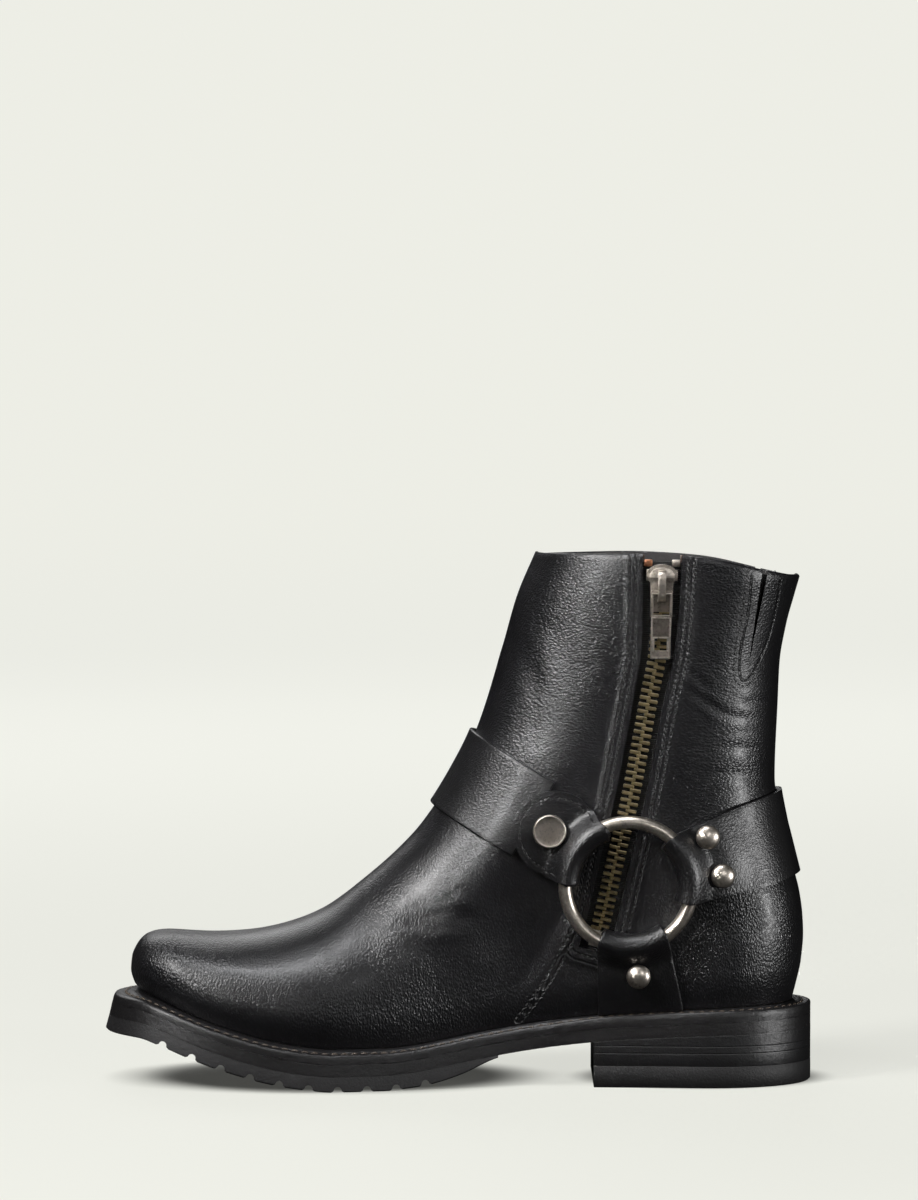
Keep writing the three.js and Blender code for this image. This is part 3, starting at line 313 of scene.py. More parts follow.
def outline(side, t, offset):
    """The feather line moved outward by offset(x), in plan."""
    step = 0.004
    t = np.asarray(t, float)
    side = np.asarray(side, float) * np.ones_like(t)
    here = feather_point(side, t)
    before = feather_point(np.where(t < step, -side, side), np.where(t < step, step, t - step))
    after = feather_point(np.where(t > 1 - step, -side, side), np.where(t > 1 - step, 1 - step, t + step))
    outward = np.stack([before[..., 1] - after[..., 1], after[..., 0] - before[..., 0]], -1)
    outward = unit(outward) * side[..., None]
    return here + outward * np.asarray(offset(here[..., 0]))[..., None]


def share_at(side, x, offset):
    shares = np.linspace(0, 1, 1001)
    return float(np.interp(x, outline(side, shares, offset)[:, 0], shares))


WELT_UNDER = WELT_THICKNESS
MIDSOLE_TOP = WELT_UNDER + LAYER_GAP
MIDSOLE_UNDER = MIDSOLE_TOP + MIDSOLE_THICKNESS
TREAD_TOP = MIDSOLE_UNDER + GAP


def flare(depth):
    share = (depth - WELT_SLOPE) / (BALL_HEIGHT - WELT_SLOPE)

    def out(x):
        along = x / BOOT_LENGTH
        spread = lerp(SIDE_FLARE, TOE_FLARE, smooth(along, 0.8, 0.96)) * smooth(along, 0.35, 0.5)
        return welt_out(x) + share * spread

    return out


def tread_z(x):
    full = BALL_HEIGHT - TREAD_TOP
    share = smooth(x, TREAD_START - TREAD_TAPER / 4, TREAD_START + TREAD_TAPER)
    return feather_z(x) - TREAD_TOP - lerp(TREAD_END_THICKNESS, full, share)


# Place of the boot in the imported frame, from the heel's own box
def packed_shift():
    shares = np.linspace(0, 1, 401)
    low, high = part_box("heel_lift")
    inner = outline(MEDIAL, shares * share_at(MEDIAL, HEEL_LENGTH, welt_out), welt_out)
    x = low.x / MM - float(outline(MEDIAL, 0.0, welt_out)[0])
    return np.array([x, high.y / MM - inner[:, 1].max(), 0.0])


SHIFT = packed_shift()


# Shader values and finishes
class Value:
    """A shader socket that adds its Math nodes when it stands in a sum."""

    def __init__(self, finish, socket):
        self.finish = finish
        self.socket = socket

    def math(self, operation, *others):
        node = self.finish.tree.nodes.new("ShaderNodeMath")
        node.operation = operation
        for socket, value in zip(node.inputs, (self, *others)):
            self.finish.feed(socket, value)
        return Value(self.finish, node.outputs[0])

    def __add__(self, other):
        return self.math("ADD", other)

    def __radd__(self, other):
        return self.math("ADD", other)

    def __sub__(self, other):
        return self.math("SUBTRACT", other)

    def __rsub__(self, other):
        return (self * -1) + other

    def __mul__(self, other):
        return self.math("MULTIPLY", other)

    def __rmul__(self, other):
        return self.math("MULTIPLY", other)

    def most(self, other):
        return self.math("MAXIMUM", other)

    def size(self):
        return self.math("ABSOLUTE")

    def between(self, low, high):
        """0 below low, 1 above high, smooth between."""
        return self.finish.node(
            "ShaderNodeMapRange", "Result", {"interpolation_type": "SMOOTHSTEP"},
            Value=self, **{"From Min": low, "From Max": high},
        )

    def bell(self, centre, width):
        """1 at the centre and 0 beyond the width on either side."""
        away = (self - centre).size()
        return 1 - away.between(0, width)


class Finish:
    """One material, with a Principled shader whose sockets take numbers, colours or values."""

    def __init__(self, name, **constants):
        self.material = bpy.data.materials.new(name)
        self.material.use_nodes = True
        self.tree = self.material.node_tree
        self.shader = self.tree.nodes["Principled BSDF"]
        self.coords = self.node("ShaderNodeTexCoord", "Object")
        self.set(**constants)

    def feed(self, socket, value):
        if isinstance(value, Value):
            self.tree.links.new(value.socket, socket)
        elif value is not None:
            socket.default_value = value

    def node(self, kind, output, settings=None, **inputs):
        node = self.tree.nodes.new(kind)
        for key, value in (settings or {}).items():
            setattr(node, key, value)
        for key, value in inputs.items():
            self.feed(node.inputs[key.replace("_", " ")], value)
        return Value(self, node.outputs[output])

    def set(self, **values):
        for key, value in values.items():
            self.feed(self.shader.inputs[key.replace("_", " ")], value)

    def attribute(self, name):
        return self.node("ShaderNodeAttribute", "Fac", {"attribute_name": name})

    def stretched(self, scale, vector=None, turn=(0, 0, 0)):
        return self.node(
            "ShaderNodeMapping", "Vector", Vector=vector or self.coords, Scale=scale, Rotation=turn,
        )

    def noise(self, scale, detail=2.0, rough=0.5, vector=None):
        return self.node(
            "ShaderNodeTexNoise", "Fac", Vector=vector or self.coords,
            Scale=scale, Detail=detail, Roughness=rough,
        )

    def cells(self, scale, vector=None):
        return self.node(
            "ShaderNodeTexVoronoi", "Distance", {"feature": "SMOOTH_F1"},
            Vector=vector or self.coords, Scale=scale, Smoothness=0.35,
        )

    def mix(self, share, first, second):
        node = self.tree.nodes.new("ShaderNodeMix")
        node.data_type = "RGBA"
        self.feed(node.inputs[0], share)
        self.feed(node.inputs[6], first)
        self.feed(node.inputs[7], second)
        return Value(self, node.outputs[2])

    def blend(self, share, first, second):
        return first + (second - first) * share

    def bump(self, height, distance):
        return self.node("ShaderNodeBump", "Normal", Height=height, Distance=distance, Strength=1.0)


def rgb(red, green, blue):
    return (red, green, blue, 1.0)


def shade(tone, share):
    return rgb(*[part * share for part in tone])


PEBBLE_CELLS = 1180.0
PORE_CELLS = 2300.0
WARP_REACH = 0.0009
PINCH_REACH = 0.75
PINCH_DEPTH = 1.2
LEATHER_RELIEF = 0.00029


def leather(name, tone, gloss, grain=1.0, seams=()):
    """Black smooth leather: fine pebbles, soft rolls between them, and pinched lines beside its seams."""
    finish = Finish(name, IOR=1.5, Coat_Roughness=0.26, Coat_IOR=1.45)
    warp = finish.node("ShaderNodeTexNoise", "Color", Vector=finish.coords, Scale=150.0, Detail=2.0)
    bent = finish.node("ShaderNodeVectorMath", "Vector", {"operation": "MULTIPLY_ADD"})
    reach = (WARP_REACH, WARP_REACH, WARP_REACH)
    for socket, value in zip(bent.socket.node.inputs, (warp, reach, finish.coords)):
        finish.feed(socket, value)
    foot_pebbles = finish.cells(PEBBLE_CELLS, finish.stretched((1.2, 1.0, 0.75), bent))
    shaft_pebbles = finish.cells(PEBBLE_CELLS, finish.stretched((0.66, 1.0, 1.2), bent, (0, 0.35, 0)))
    height_up = finish.node("ShaderNodeSeparateXYZ", "Z", Vector=finish.coords)
    pebbles = finish.blend(height_up.between(0.07, 0.115), foot_pebbles, shaft_pebbles)
    pores = finish.cells(PORE_CELLS, bent)
    rolls = finish.noise(230.0, 3.0, 0.6, finish.stretched((1, 1, 1.9)))
    worn = finish.noise(26.0, 4.0, 0.6)
    mottle = finish.noise(7.0, 3.0, 0.55)
    amount = (finish.noise(18.0, 2.0).between(0.3, 0.75) * 0.55 + 0.45) * grain
    height = pebbles * amount * -1.0 + pores * -0.2 + rolls * 0.14
    pinch = None
    for attribute, offsets in seams:
        away = finish.attribute(attribute)
        for offset in offsets:
            line = away.bell(offset, PINCH_REACH)
            pinch = line if pinch is None else pinch.most(line)
    if pinch is not None:
        height = height - pinch * PINCH_DEPTH
    rubbed = rgb(tone[0] * 1.9, tone[1] * 1.8, tone[2] * 1.7)
    base = finish.mix(mottle.between(0.35, 0.7), shade(tone, 0.8), shade(tone, 1.25))
    base = finish.mix(worn.between(0.56, 0.8) * 0.5, base, rubbed)
    roughness = worn * 0.16 + pebbles * 0.12 + (gloss - 0.13)
    finish.set(
        Base_Color=base,
        Roughness=roughness,
        Coat_Weight=mottle * 0.2 + 0.1,
        Normal=finish.bump(height, LEATHER_RELIEF),
    )
    return finish.material


def antique_metal(name, bright, dark, roughness):
    """Cast or turned metal with patches of dark patina and fine scratches."""
    finish = Finish(name, Metallic=1.0, IOR=1.5)
    cloud = finish.noise(190.0, 5.0, 0.62)
    speck = finish.noise(900.0, 3.0, 0.6)
    scratches = finish.noise(420.0, 4.0, 0.6)
    patina = cloud.between(0.42, 0.7) * 0.55 + speck.between(0.5, 0.72) * 0.4
    finish.set(
        Base_Color=finish.mix(patina, rgb(*bright), rgb(*dark)),
        Roughness=cloud * 0.2 + scratches * 0.16 + (roughness - 0.16),
        Normal=finish.bump(speck * 0.5 + scratches, 0.00006),
    )
    return finish.material


def painted_edge(name, tone, brown, wear):
    """Leather edge painted black: fibres show through brown where the paint has rubbed off."""
    finish = Finish(name, IOR=1.5, Coat_Roughness=0.4)
    fibres = finish.noise(520.0, 5.0, 0.7, finish.stretched((0.35, 0.35, 2.2)))
    rough = finish.noise(900.0, 4.0, 0.7)
    patches = finish.noise(60.0, 4.0, 0.7)
    worn = finish.attribute("worn")
    bare = (patches * 0.6 + rough * 0.6 + worn * wear).between(0.86, 1.12)
    under_paint = finish.mix(rough, rgb(*brown), shade(brown, 0.35))
    finish.set(
        Base_Color=finish.mix(bare, rgb(*tone), under_paint),
        Roughness=bare * 0.3 + fibres * 0.1 + 0.33,
        Coat_Weight=(1 - bare) * 0.15,
        Normal=finish.bump(fibres * 0.12 + rough * 0.8 + patches * 0.2, 0.00022),
    )
    return finish.material


def moulded_rubber():
    finish = Finish("moulded_rubber", IOR=1.5)
    fine = finish.noise(1100.0, 4.0, 0.6)
    dust = finish.noise(35.0, 4.0, 0.6)
    finish.set(
        Base_Color=finish.mix(dust.between(0.5, 0.8), rgb(0.006, 0.0056, 0.006), rgb(0.012, 0.011, 0.0115)),
        Roughness=dust * 0.2 + fine * 0.1 + 0.42,
        Normal=finish.bump(fine + dust, 0.00018),
    )
    return finish.material


def waxed_thread(name, tone):
    """Twisted thread: fine slanting strands, a little shiny with wax."""
    finish = Finish(name, IOR=1.5)
    twist = finish.node(
        "ShaderNodeTexWave", "Fac", {"wave_type": "BANDS", "bands_direction": "DIAGONAL"},
        Vector=finish.coords, Scale=900.0, Distortion=2.0, Detail=1.0,
    )
    fuzz = finish.noise(1500.0, 2.0)
    finish.set(
        Base_Color=finish.mix(twist, shade(tone, 0.5), rgb(*tone)),
        Roughness=fuzz * 0.3 + 0.4,
        Normal=finish.bump(twist, 0.0001),
    )
    return finish.material


def woven_tape():
    """Cotton tape: fine herringbone ribs across the zip."""
    finish = Finish("woven_tape", IOR=1.45)
    ribs = finish.node(
        "ShaderNodeTexWave", "Fac", {"wave_type": "BANDS", "bands_direction": "Z"},
        Vector=finish.coords, Scale=420.0, Distortion=1.2, Detail=2.0, **{"Detail Scale": 6.0},
    )
    yarn = finish.noise(1600.0, 3.0, 0.7)
    finish.set(
        Base_Color=finish.mix(ribs * yarn, rgb(0.006, 0.006, 0.006), rgb(0.03, 0.029, 0.027)),
        Roughness=yarn * 0.2 + 0.7,
        Normal=finish.bump(ribs + yarn * 0.6, 0.0003),
    )
    return finish.material


def ribbed_elastic():
    """Elastic gore: narrow upright ribs with a woven face."""
    finish = Finish("ribbed_elastic", IOR=1.45)
    ribs = finish.node(
        "ShaderNodeTexWave", "Fac", {"wave_type": "BANDS", "bands_direction": "X"},
        Vector=finish.coords, Scale=330.0, Distortion=0.3,
    )
    yarn = finish.noise(1500.0, 3.0, 0.7, finish.stretched((1, 1, 3)))
    finish.set(
        Base_Color=finish.mix(ribs, rgb(0.008, 0.008, 0.008), rgb(0.035, 0.034, 0.032)),
        Roughness=yarn * 0.2 + 0.65,
        Normal=finish.bump(ribs + yarn * 0.4, 0.0004),
    )
    return finish.material


def tanned_leather():
    finish = Finish("tanned_leather", IOR=1.45)
    pores = finish.cells(900.0)
    cloud = finish.noise(28.0, 4.0, 0.6)
    finish.set(
        Base_Color=finish.mix(cloud.between(0.3, 0.7), rgb(0.22, 0.13, 0.07), rgb(0.32, 0.2, 0.11)),
        Roughness=cloud * 0.2 + 0.5,
        Normal=finish.bump(pores, 0.00012),
    )
    return finish.material


def shaft_lining():
    finish = Finish("shaft_lining", IOR=1.45)
    nap = finish.noise(1400.0, 4.0, 0.7)
    cloud = finish.noise(30.0, 3.0)
    finish.set(
        Base_Color=finish.mix(cloud, rgb(0.012, 0.011, 0.011), rgb(0.028, 0.026, 0.025)),
        Roughness=nap * 0.15 + 0.68,
        Normal=finish.bump(nap, 0.00015),
    )
    return finish.material


ZIP_SEAM_ROWS = (2.6, 5.0)
SEAM_LINES = (("zip_edge", ZIP_SEAM_ROWS), ("slit_line", (0.0,)), ("seam_line", (1.2,)))
TAB_LINES = (("tab_line", (0.0,)),)
STRAP_TONE = (0.0045, 0.0043, 0.005)
UPPER_LEATHER = leather("upper_leather", (0.0045, 0.0043, 0.0052), 0.325, seams=SEAM_LINES)
STRAP_LEATHER = leather("strap_leather", STRAP_TONE, 0.35, grain=0.75)
TAB_LEATHER = leather("tab_leather", STRAP_TONE, 0.35, grain=0.75, seams=TAB_LINES)
NICKEL = antique_metal("antique_nickel", (0.66, 0.6, 0.53), (0.17, 0.145, 0.12), 0.33)
DARK_NICKEL = antique_metal("dark_nickel", (0.3, 0.265, 0.23), (0.06, 0.05, 0.042), 0.42)
BRASS = antique_metal("antique_brass", (0.36, 0.29, 0.16), (0.075, 0.06, 0.035), 0.38)
COPPER = antique_metal("worn_copper", (0.42, 0.19, 0.1), (0.12, 0.06, 0.035), 0.42)
WELT_EDGE = painted_edge("welt_edge", (0.0055, 0.005, 0.0054), (0.15, 0.075, 0.04), 0.16)
SOLE_EDGE = painted_edge("sole_edge", (0.0058, 0.0052, 0.0056), (0.1, 0.06, 0.035), 0.08)
HEEL_EDGE = painted_edge("heel_edge", (0.0052, 0.005, 0.0055), (0.09, 0.055, 0.032), 0.06)
RAW_EDGE = painted_edge("raw_edge", (0.05, 0.025, 0.014), (0.42, 0.19, 0.09), 0.6)
RUBBER = moulded_rubber()
THREAD = waxed_thread("black_thread", (0.006, 0.0058, 0.0056))
WELT_THREAD = waxed_thread("welt_thread", (0.075, 0.055, 0.038))
TAPE = woven_tape()
ELASTIC = ribbed_elastic()
TAN = tanned_leather()
LINING = shaft_lining()


# Meshes
def to_packed(points):
    return (np.asarray(points, float) + SHIFT) * MM


def add_object(name, data):
    """A new object with its data, linked to the scene."""
    obj = bpy.data.objects.new(name, data)
    bpy.context.scene.collection.objects.link(obj)
    return obj


def shade_smooth(mesh):
    mesh.polygons.foreach_set("use_smooth", np.full(len(mesh.polygons), True))


def make_object(name, points, faces, materials, face_materials=None):
    """A mesh with its faces outward and its points in the maker's millimetres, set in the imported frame."""
    mesh = bpy.data.meshes.new(name)
    mesh.from_pydata([tuple(p) for p in to_packed(points)], [], faces)
    for material in materials:
        mesh.materials.append(material)
    if face_materials is not None:
        mesh.polygons.foreach_set("material_index", np.asarray(face_materials, np.int32))
    shade_smooth(mesh)
    mesh.update()
    obj = add_object(name, mesh)
    turn_outward(mesh)
    return obj


def turn_outward(mesh):
    mesh.calc_loop_triangles()
    count = len(mesh.loop_triangles)
    corners = np.empty(count * 3, np.int32)
    mesh.loop_triangles.foreach_get("vertices", corners)
    co = np.empty(len(mesh.vertices) * 3)
    mesh.vertices.foreach_get("co", co)
    a, b, c = co.reshape(-1, 3)[corners.reshape(-1, 3)].transpose(1, 0, 2)
    if np.einsum("ij,ij->i", a, np.cross(b, c)).sum() < 0:
        mesh.flip_normals()


def apply_modifiers(obj):
    graph = bpy.context.evaluated_depsgraph_get()
    mesh = bpy.data.meshes.new_from_object(obj.evaluated_get(graph))
    obj.modifiers.clear()
    obj.data = mesh
    return obj


def rounded(obj, width, segments=3, angle=38.0):
    """Rounds the sharp edges, in millimetres."""
    bevel = obj.modifiers.new("rounded", "BEVEL")
    bevel.width = width * MM
    bevel.segments = segments
    bevel.limit_method = "ANGLE"
    bevel.angle_limit = math.radians(angle)
    bevel.miter_outer = "MITER_ARC"
    bevel.harden_normals = False
    return apply_modifiers(obj)


def sharp_by_angle(obj, angle=35.0):
    obj.data.set_sharp_from_angle(angle=math.radians(angle))
    return obj


def place(obj, body, slot, *nodes):
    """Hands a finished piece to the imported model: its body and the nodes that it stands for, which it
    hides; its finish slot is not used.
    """
    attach(obj, body)
    if nodes:
        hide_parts(*nodes)
    return obj


def grid_faces(rows, columns, closed=False):
    faces = []
    last = columns if closed else columns - 1
    for i in range(rows - 1):
        for j in range(last):
            k = (j + 1) % columns
            a = i * columns
            b = a + columns
            faces.append((a + j, b + j, b + k, a + k))
    return faces


def closing_faces(rows, columns):
    """Faces from the last row of a closed grid back to its first one."""
    last = (rows - 1) * columns
    return [(last + j, j, (j + 1) % columns, last + (j + 1) % columns) for j in range(columns)]


def end_caps(total, around):
    """One face over the first ring of points and one over the last."""
    return [tuple(range(around)), tuple(range(total - 1, total - around - 1, -1))]


def prism(name, near, far, material):
    """Solid between two outlines that have as many points."""
    count = len(near)
    faces = end_caps(2 * count, count)
    for j in range(count):
        k = (j + 1) % count
        faces.append((k, j, j + count, k + count))
    return make_object(name, near + far, faces, [material])


def across_faces(rows, count, cells, first):
    """Faces over the first and the last row of a closed grid, from one side to the other."""
    faces = []
    for base in (0, (rows - 1) * count):
        for j in range(cells):
            corners = (j, j + 1, (first - 1 - j) % count, (first - j) % count)
            cap = tuple(base + corner for corner in dict.fromkeys(corners))
            if len(cap) >= 3:
                faces.append(cap if base == 0 else cap[::-1])
    return faces


def in_frame(points, matrix):
    """Points of a frame in the maker's millimetres."""
    return points @ matrix[:3, :3].T + matrix[:3, 3]


def frame_matrix(along, outward, middle):
    """Frame whose axes are across, along and outward, set at a spot."""
    matrix = np.eye(4)
    matrix[:3, :3] = np.stack([np.cross(along, outward), along, outward], -1)
    matrix[:3, 3] = middle
    return matrix


def shake(points, scale):
    """A smooth random direction at every point."""
    return np.array([noise.noise_vector(Vector(tuple(point * scale))) for point in points])


def grid_normals(grid, closed=False):
    down = np.gradient(grid, axis=0)
    if closed:
        along = np.roll(grid, -1, axis=1) - np.roll(grid, 1, axis=1)
    else:
        along = np.gradient(grid, axis=1)
    return unit(np.cross(down, along))


def sheet(name, grid, thickness, materials, bevel):
    """Closed sheet of a given thickness round a grid of middle points, with rounded edges."""
    normals = grid_normals(grid)
    rows, columns = grid.shape[:2]
    over = (grid + normals * thickness / 2).reshape(-1, 3)
    under = (grid - normals * thickness / 2).reshape(-1, 3)
    count = rows * columns
    faces = grid_faces(rows, columns)
    faces += [tuple(reversed([p + count for p in face])) for face in grid_faces(rows, columns)]
    rim = [i * columns for i in range(rows)]
    rim += [(rows - 1) * columns + j for j in range(1, columns)]
    rim += [i * columns + columns - 1 for i in range(rows - 2, -1, -1)]
    rim += [j for j in range(columns - 2, 0, -1)]
    for a, b in zip(rim, rim[1:] + rim[:1]):
        faces.append((b, a, a + count, b + count))
    obj = make_object(name, np.concatenate([over, under]), faces, materials)
    if bevel:
        rounded(obj, bevel)
    return obj


def resample(points, count):
    """The same line with its points at equal distances."""
    steps = np.linalg.norm(np.diff(points, axis=0), axis=1)
    at = np.concatenate([[0], np.cumsum(steps)])
    wanted = np.linspace(0, at[-1], count)
    return np.stack([np.interp(wanted, at, points[:, k]) for k in range(points.shape[1])], -1)


def relax(points, passes):
    """Smooths a line, or a grid along its second axis, and keeps its ends."""
    points = points.copy()
    for _ in range(passes):
        middle = (points[..., :-2, :] + 2 * points[..., 1:-1, :] + points[..., 2:, :]) / 4
        points[..., 1:-1, :] = middle
    return points


def line_distance(line, x, z):
    """Distance in the side view from a line of points, and how far along it the nearest place is."""
    best = np.full(x.shape, np.inf)
    where = np.zeros(x.shape)
    done = 0.0
    for (ax, az), (bx, bz) in zip(line[:-1], line[1:]):
        dx, dz = bx - ax, bz - az
        length = math.hypot(dx, dz)
        t = np.clip(((x - ax) * dx + (z - az) * dz) / length**2, 0, 1)
        away = np.hypot(x - ax - t * dx, z - az - t * dz)
        nearer = away < best
        best = np.where(nearer, away, best)
        where = np.where(nearer, done + t * length, where)
        done += length
    return best, where


# Lines of the side view
def on_side(along, up):
    """Place in the side view: its height is counted from the heel seat."""
    return np.array([along * BOOT_LENGTH, SEAT_HEIGHT + up * UPPER_RISE])


ZIP_UPS = np.linspace(ZIP_ROWS["up"][-1], ZIP_ROWS["up"][0], 400)
ZIP_LINE = resample(on_side(zip_share(ZIP_UPS), ZIP_UPS).T, 800)
ZIP_LENGTH = float(np.linalg.norm(np.diff(ZIP_LINE, axis=0), axis=1).sum())
ZIP_END = ZIP_LENGTH - 3


def zip_place(distance):
    """Places on the zip's middle line, and the directions across it."""
    share = np.clip(np.asarray(distance, float) / ZIP_LENGTH, 0, 1) * (len(ZIP_LINE) - 1)
    index = np.arange(len(ZIP_LINE))
    spot = np.stack([np.interp(share, index, ZIP_LINE[:, k]) for k in (0, 1)], -1)
    slope = np.gradient(ZIP_LINE, axis=0)
    along = unit(np.stack([np.interp(share, index, slope[:, k]) for k in (0, 1)], -1))
    aside = np.stack([-along[..., 1], along[..., 0]], -1)
    return spot, aside


def zip_half(distance):
    return lerp(ZIP_GAP_TOP, ZIP_GAP, smooth(distance, 0, 0.4 * ZIP_LENGTH)) / 2


def beside_zip(distance, offset):
    spot, aside = zip_place(distance)
    return spot + aside * np.asarray(offset, float)[..., None]


def zip_outline():
    """Edge of the opening, from its front top corner down and up again to its rear top corner."""
    distance = np.linspace(0, ZIP_END, 160)
    front = beside_zip(distance, zip_half(distance))
    rear = beside_zip(distance, -zip_half(distance))
    rise = np.array([[0, 8.0]])
    return np.concatenate([front[:1] + rise, front, rear[::-1], rear[:1] + rise])


SLIT_TOP = on_side(0.0678, 0.9591)
SLIT_TIP = on_side(0.0939, 0.7271)
SLIT_WIDTH = 2.6
SLIT_SEAM = np.array([
    (25.0, 198.1), (25.9, 183.7), (29.1, 171.6), (30.0, 158.0), (29.2, 154.6),
    (26.6, 156.0), (22.2, 163.0), (17.6, 173.6), (14.6, 186.0), (13.3, 196.5),
])
SIDE_SEAM = np.array([
    (92.0, 62.0), (96.3, 55.5), (99.8, 47.2), (104.9, 39.0), (110.5, 31.0), (114.5, 25.8),
])


def bend_line(corners, count):
    """Smooth line through a few points of the side view."""
    dense = resample(np.asarray(corners, float), count)
    return relax(dense, max(2, count // 3))


# Soft troughs and ridges of the leather: side, corners in the side view, half width and depth
CREASES = [
    (MEDIAL, [(165, 66), (150, 64.5), (137, 67), (126, 64)], 3.0, 0.38),
    (MEDIAL, [(172, 74), (176, 62), (177, 48)], 6.0, 0.3),
    (MEDIAL, [(118, 82), (124, 66), (126, 48)], 8.0, 0.35),
    (MEDIAL, [(146, 78), (152, 60), (153, 46)], 7.0, 0.22),
    (MEDIAL, [(160, 71), (147, 70), (136, 74)], 2.2, 0.2),
    (MEDIAL, [(168, 62), (158, 63.5), (149, 62)], 1.3, 0.16),
    (MEDIAL, [(158, 67.5), (148, 66.5), (139, 70), (132, 69)], 1.2, 0.18),
    (MEDIAL, [(152, 60.5), (142, 62.5), (134, 60)], 1.3, 0.14),
    (MEDIAL, [(146, 73), (138, 77), (131, 77)], 1.3, 0.12),
    (MEDIAL, [(52, 158), (47, 153), (40, 148), (34, 144), (20, 142)], 1.5, 0.3),
    (MEDIAL, [(52, 163), (46, 160), (40, 152)], 1.6, 0.22),
    (MEDIAL, [(30, 148), (22, 150), (14, 149)], 1.4, 0.2),
    (MEDIAL, [(40, 131), (28, 132), (16, 129)], 1.8, 0.25),
    (MEDIAL, [(44, 120), (32, 122), (18, 119)], 2.4, 0.25),
    (MEDIAL, [(118, 178), (112, 163), (104, 150)], 4.0, 0.22),
    (MEDIAL, [(104, 186), (97, 170), (92, 150)], 5.0, 0.2),
    (MEDIAL, [(125, 128), (110, 120), (100, 112)], 4.5, 0.25),
    (MEDIAL, [(48, 62), (30, 66), (12, 62)], 6.0, 0.2),
    (LATERAL, [(168, 70), (152, 66), (136, 69)], 4.0, 0.45),
    (LATERAL, [(174, 78), (178, 62), (176, 46)], 6.0, 0.35),
    (LATERAL, [(120, 80), (126, 64), (125, 46)], 8.0, 0.4),
    (LATERAL, [(55, 146), (40, 143), (20, 146)], 1.8, 0.3),
    (LATERAL, [(60, 122), (40, 126), (20, 120)], 2.4, 0.3),
    (LATERAL, [(112, 172), (102, 158), (92, 150)], 4.0, 0.3),
    (LATERAL, [(50, 64), (30, 68), (12, 62)], 6.0, 0.25),
]


# Ridge beside each trough, and the rise of the leather beside the zip and in front of the side seam
RIDGE_AWAY = 1.9
RIDGE_SHARE = 0.45
DOUBLED_RISE = 0.55
LAPPED_RISE = 0.5
LAP_TOP = 70


def relief(side, x, z):
    """How far the leather stands off its smooth form, in millimetres."""
    height = np.zeros(x.shape)
    for crease_side, corners, width, depth in CREASES:
        line = bend_line(corners, 14)
        away, where = line_distance(line, x, z)
        length = np.linalg.norm(np.diff(line, axis=0), axis=1).sum()
        fade = smooth(where, -0.01, 0.3 * length) * (1 - smooth(where, 0.7 * length, length * 1.01))
        beside = (away - RIDGE_AWAY * width) / width
        trough = np.exp(-((away / width) ** 2)) - RIDGE_SHARE * np.exp(-(beside**2))
        height -= np.where(side == crease_side, depth * fade * trough, 0)
    doubled, _ = line_distance(zip_outline(), x, z)
    turned = (1 - smooth(doubled, 5.4, 7.2)) * DOUBLED_RISE
    seam, _ = line_distance(bend_line(SIDE_SEAM, 24), x, z)
    ahead = x > np.interp(z, SIDE_SEAM[::-1, 1], SIDE_SEAM[::-1, 0])
    lapped = np.where(ahead, 1, 0) * (1 - smooth(seam, 3, 9)) * LAPPED_RISE * smooth(LAP_TOP - z, 0, 6)
    height += np.where(side == MEDIAL, turned, 0) + lapped
    return height


# Upper
UPPER_ROWS = 176
UPPER_HALF = 146
INNER_ROWS = 44


def upper_loop(side, v):
    """One level loop of the upper on one side, with its points at equal distances."""
    s = (1 - np.cos(np.pi * np.linspace(0, 1, 900))) / 2
    back_up = collar_up(back_x(float(UPPER_RISE))) * v**1.5
    front_up = UPPER_RISE * v**1.7
    x = lerp(back_x(back_up), front_x(front_up), s)
    line = lerp(collar_up(back_x(float(UPPER_RISE))), UPPER_RISE, s)
    up = GAP + lerp(back_up, front_up, s) * (1 - GAP / UPPER_RISE) + v**6 * (collar_up(x) - line)
    up = np.minimum(up, UPPER_RISE)
    y = ridge_y(x) + side * half_width(side, x, up)
    y[[0, -1]] = ridge_y(x)[[0, -1]]
    return resample(np.stack([x, y, feather_z(x) + up], -1), UPPER_HALF + 1)


def upper_grid(rows):
    grid = []
    for v in np.linspace(0, 1, rows):
        inner = upper_loop(MEDIAL, v)
        outer = upper_loop(LATERAL, v)
        grid.append(np.concatenate([inner[:-1], outer[::-1][:-1]]))
    return np.array(grid)


def side_cutter(points, side):
    """Side-view outline pushed through one side of the boot, as a cutter."""
    low, high = (4.0, BALL_WIDTH + 4.0) if side == MEDIAL else (-BALL_WIDTH - 4.0, -4.0)
    near = [(x, low, z) for x, z in points]
    far = [(x, high, z) for x, z in points]
    return prism("cutter", near, far, UPPER_LEATHER)


def cut_away(obj, cutters):
    for cutter in cutters:
        boolean = obj.modifiers.new("cut", "BOOLEAN")
        boolean.operation = "DIFFERENCE"
        boolean.solver = "MANIFOLD"
        boolean.object = cutter
    apply_modifiers(obj)
    for cutter in cutters:
        bpy.data.objects.remove(cutter)
    return obj


def slit_outline():
    (x, z), tip = SLIT_TOP, SLIT_TIP
    return [(x - SLIT_WIDTH / 2, z), tip, (x + SLIT_WIDTH / 2, z)]


def store(mesh, name, values):
    attribute = mesh.attributes.new(name, "FLOAT", "POINT")
    attribute.data.foreach_set("value", np.asarray(values, np.float32))


def vertex_places(mesh):
    """Vertices in the maker's own millimetres."""
    co = np.empty(len(mesh.vertices) * 3)
    mesh.vertices.foreach_get("co", co)
    return co.reshape(-1, 3) / MM - SHIFT


OUTER_DROP = 2.8
FAR_FROM_ZIP = 99.0


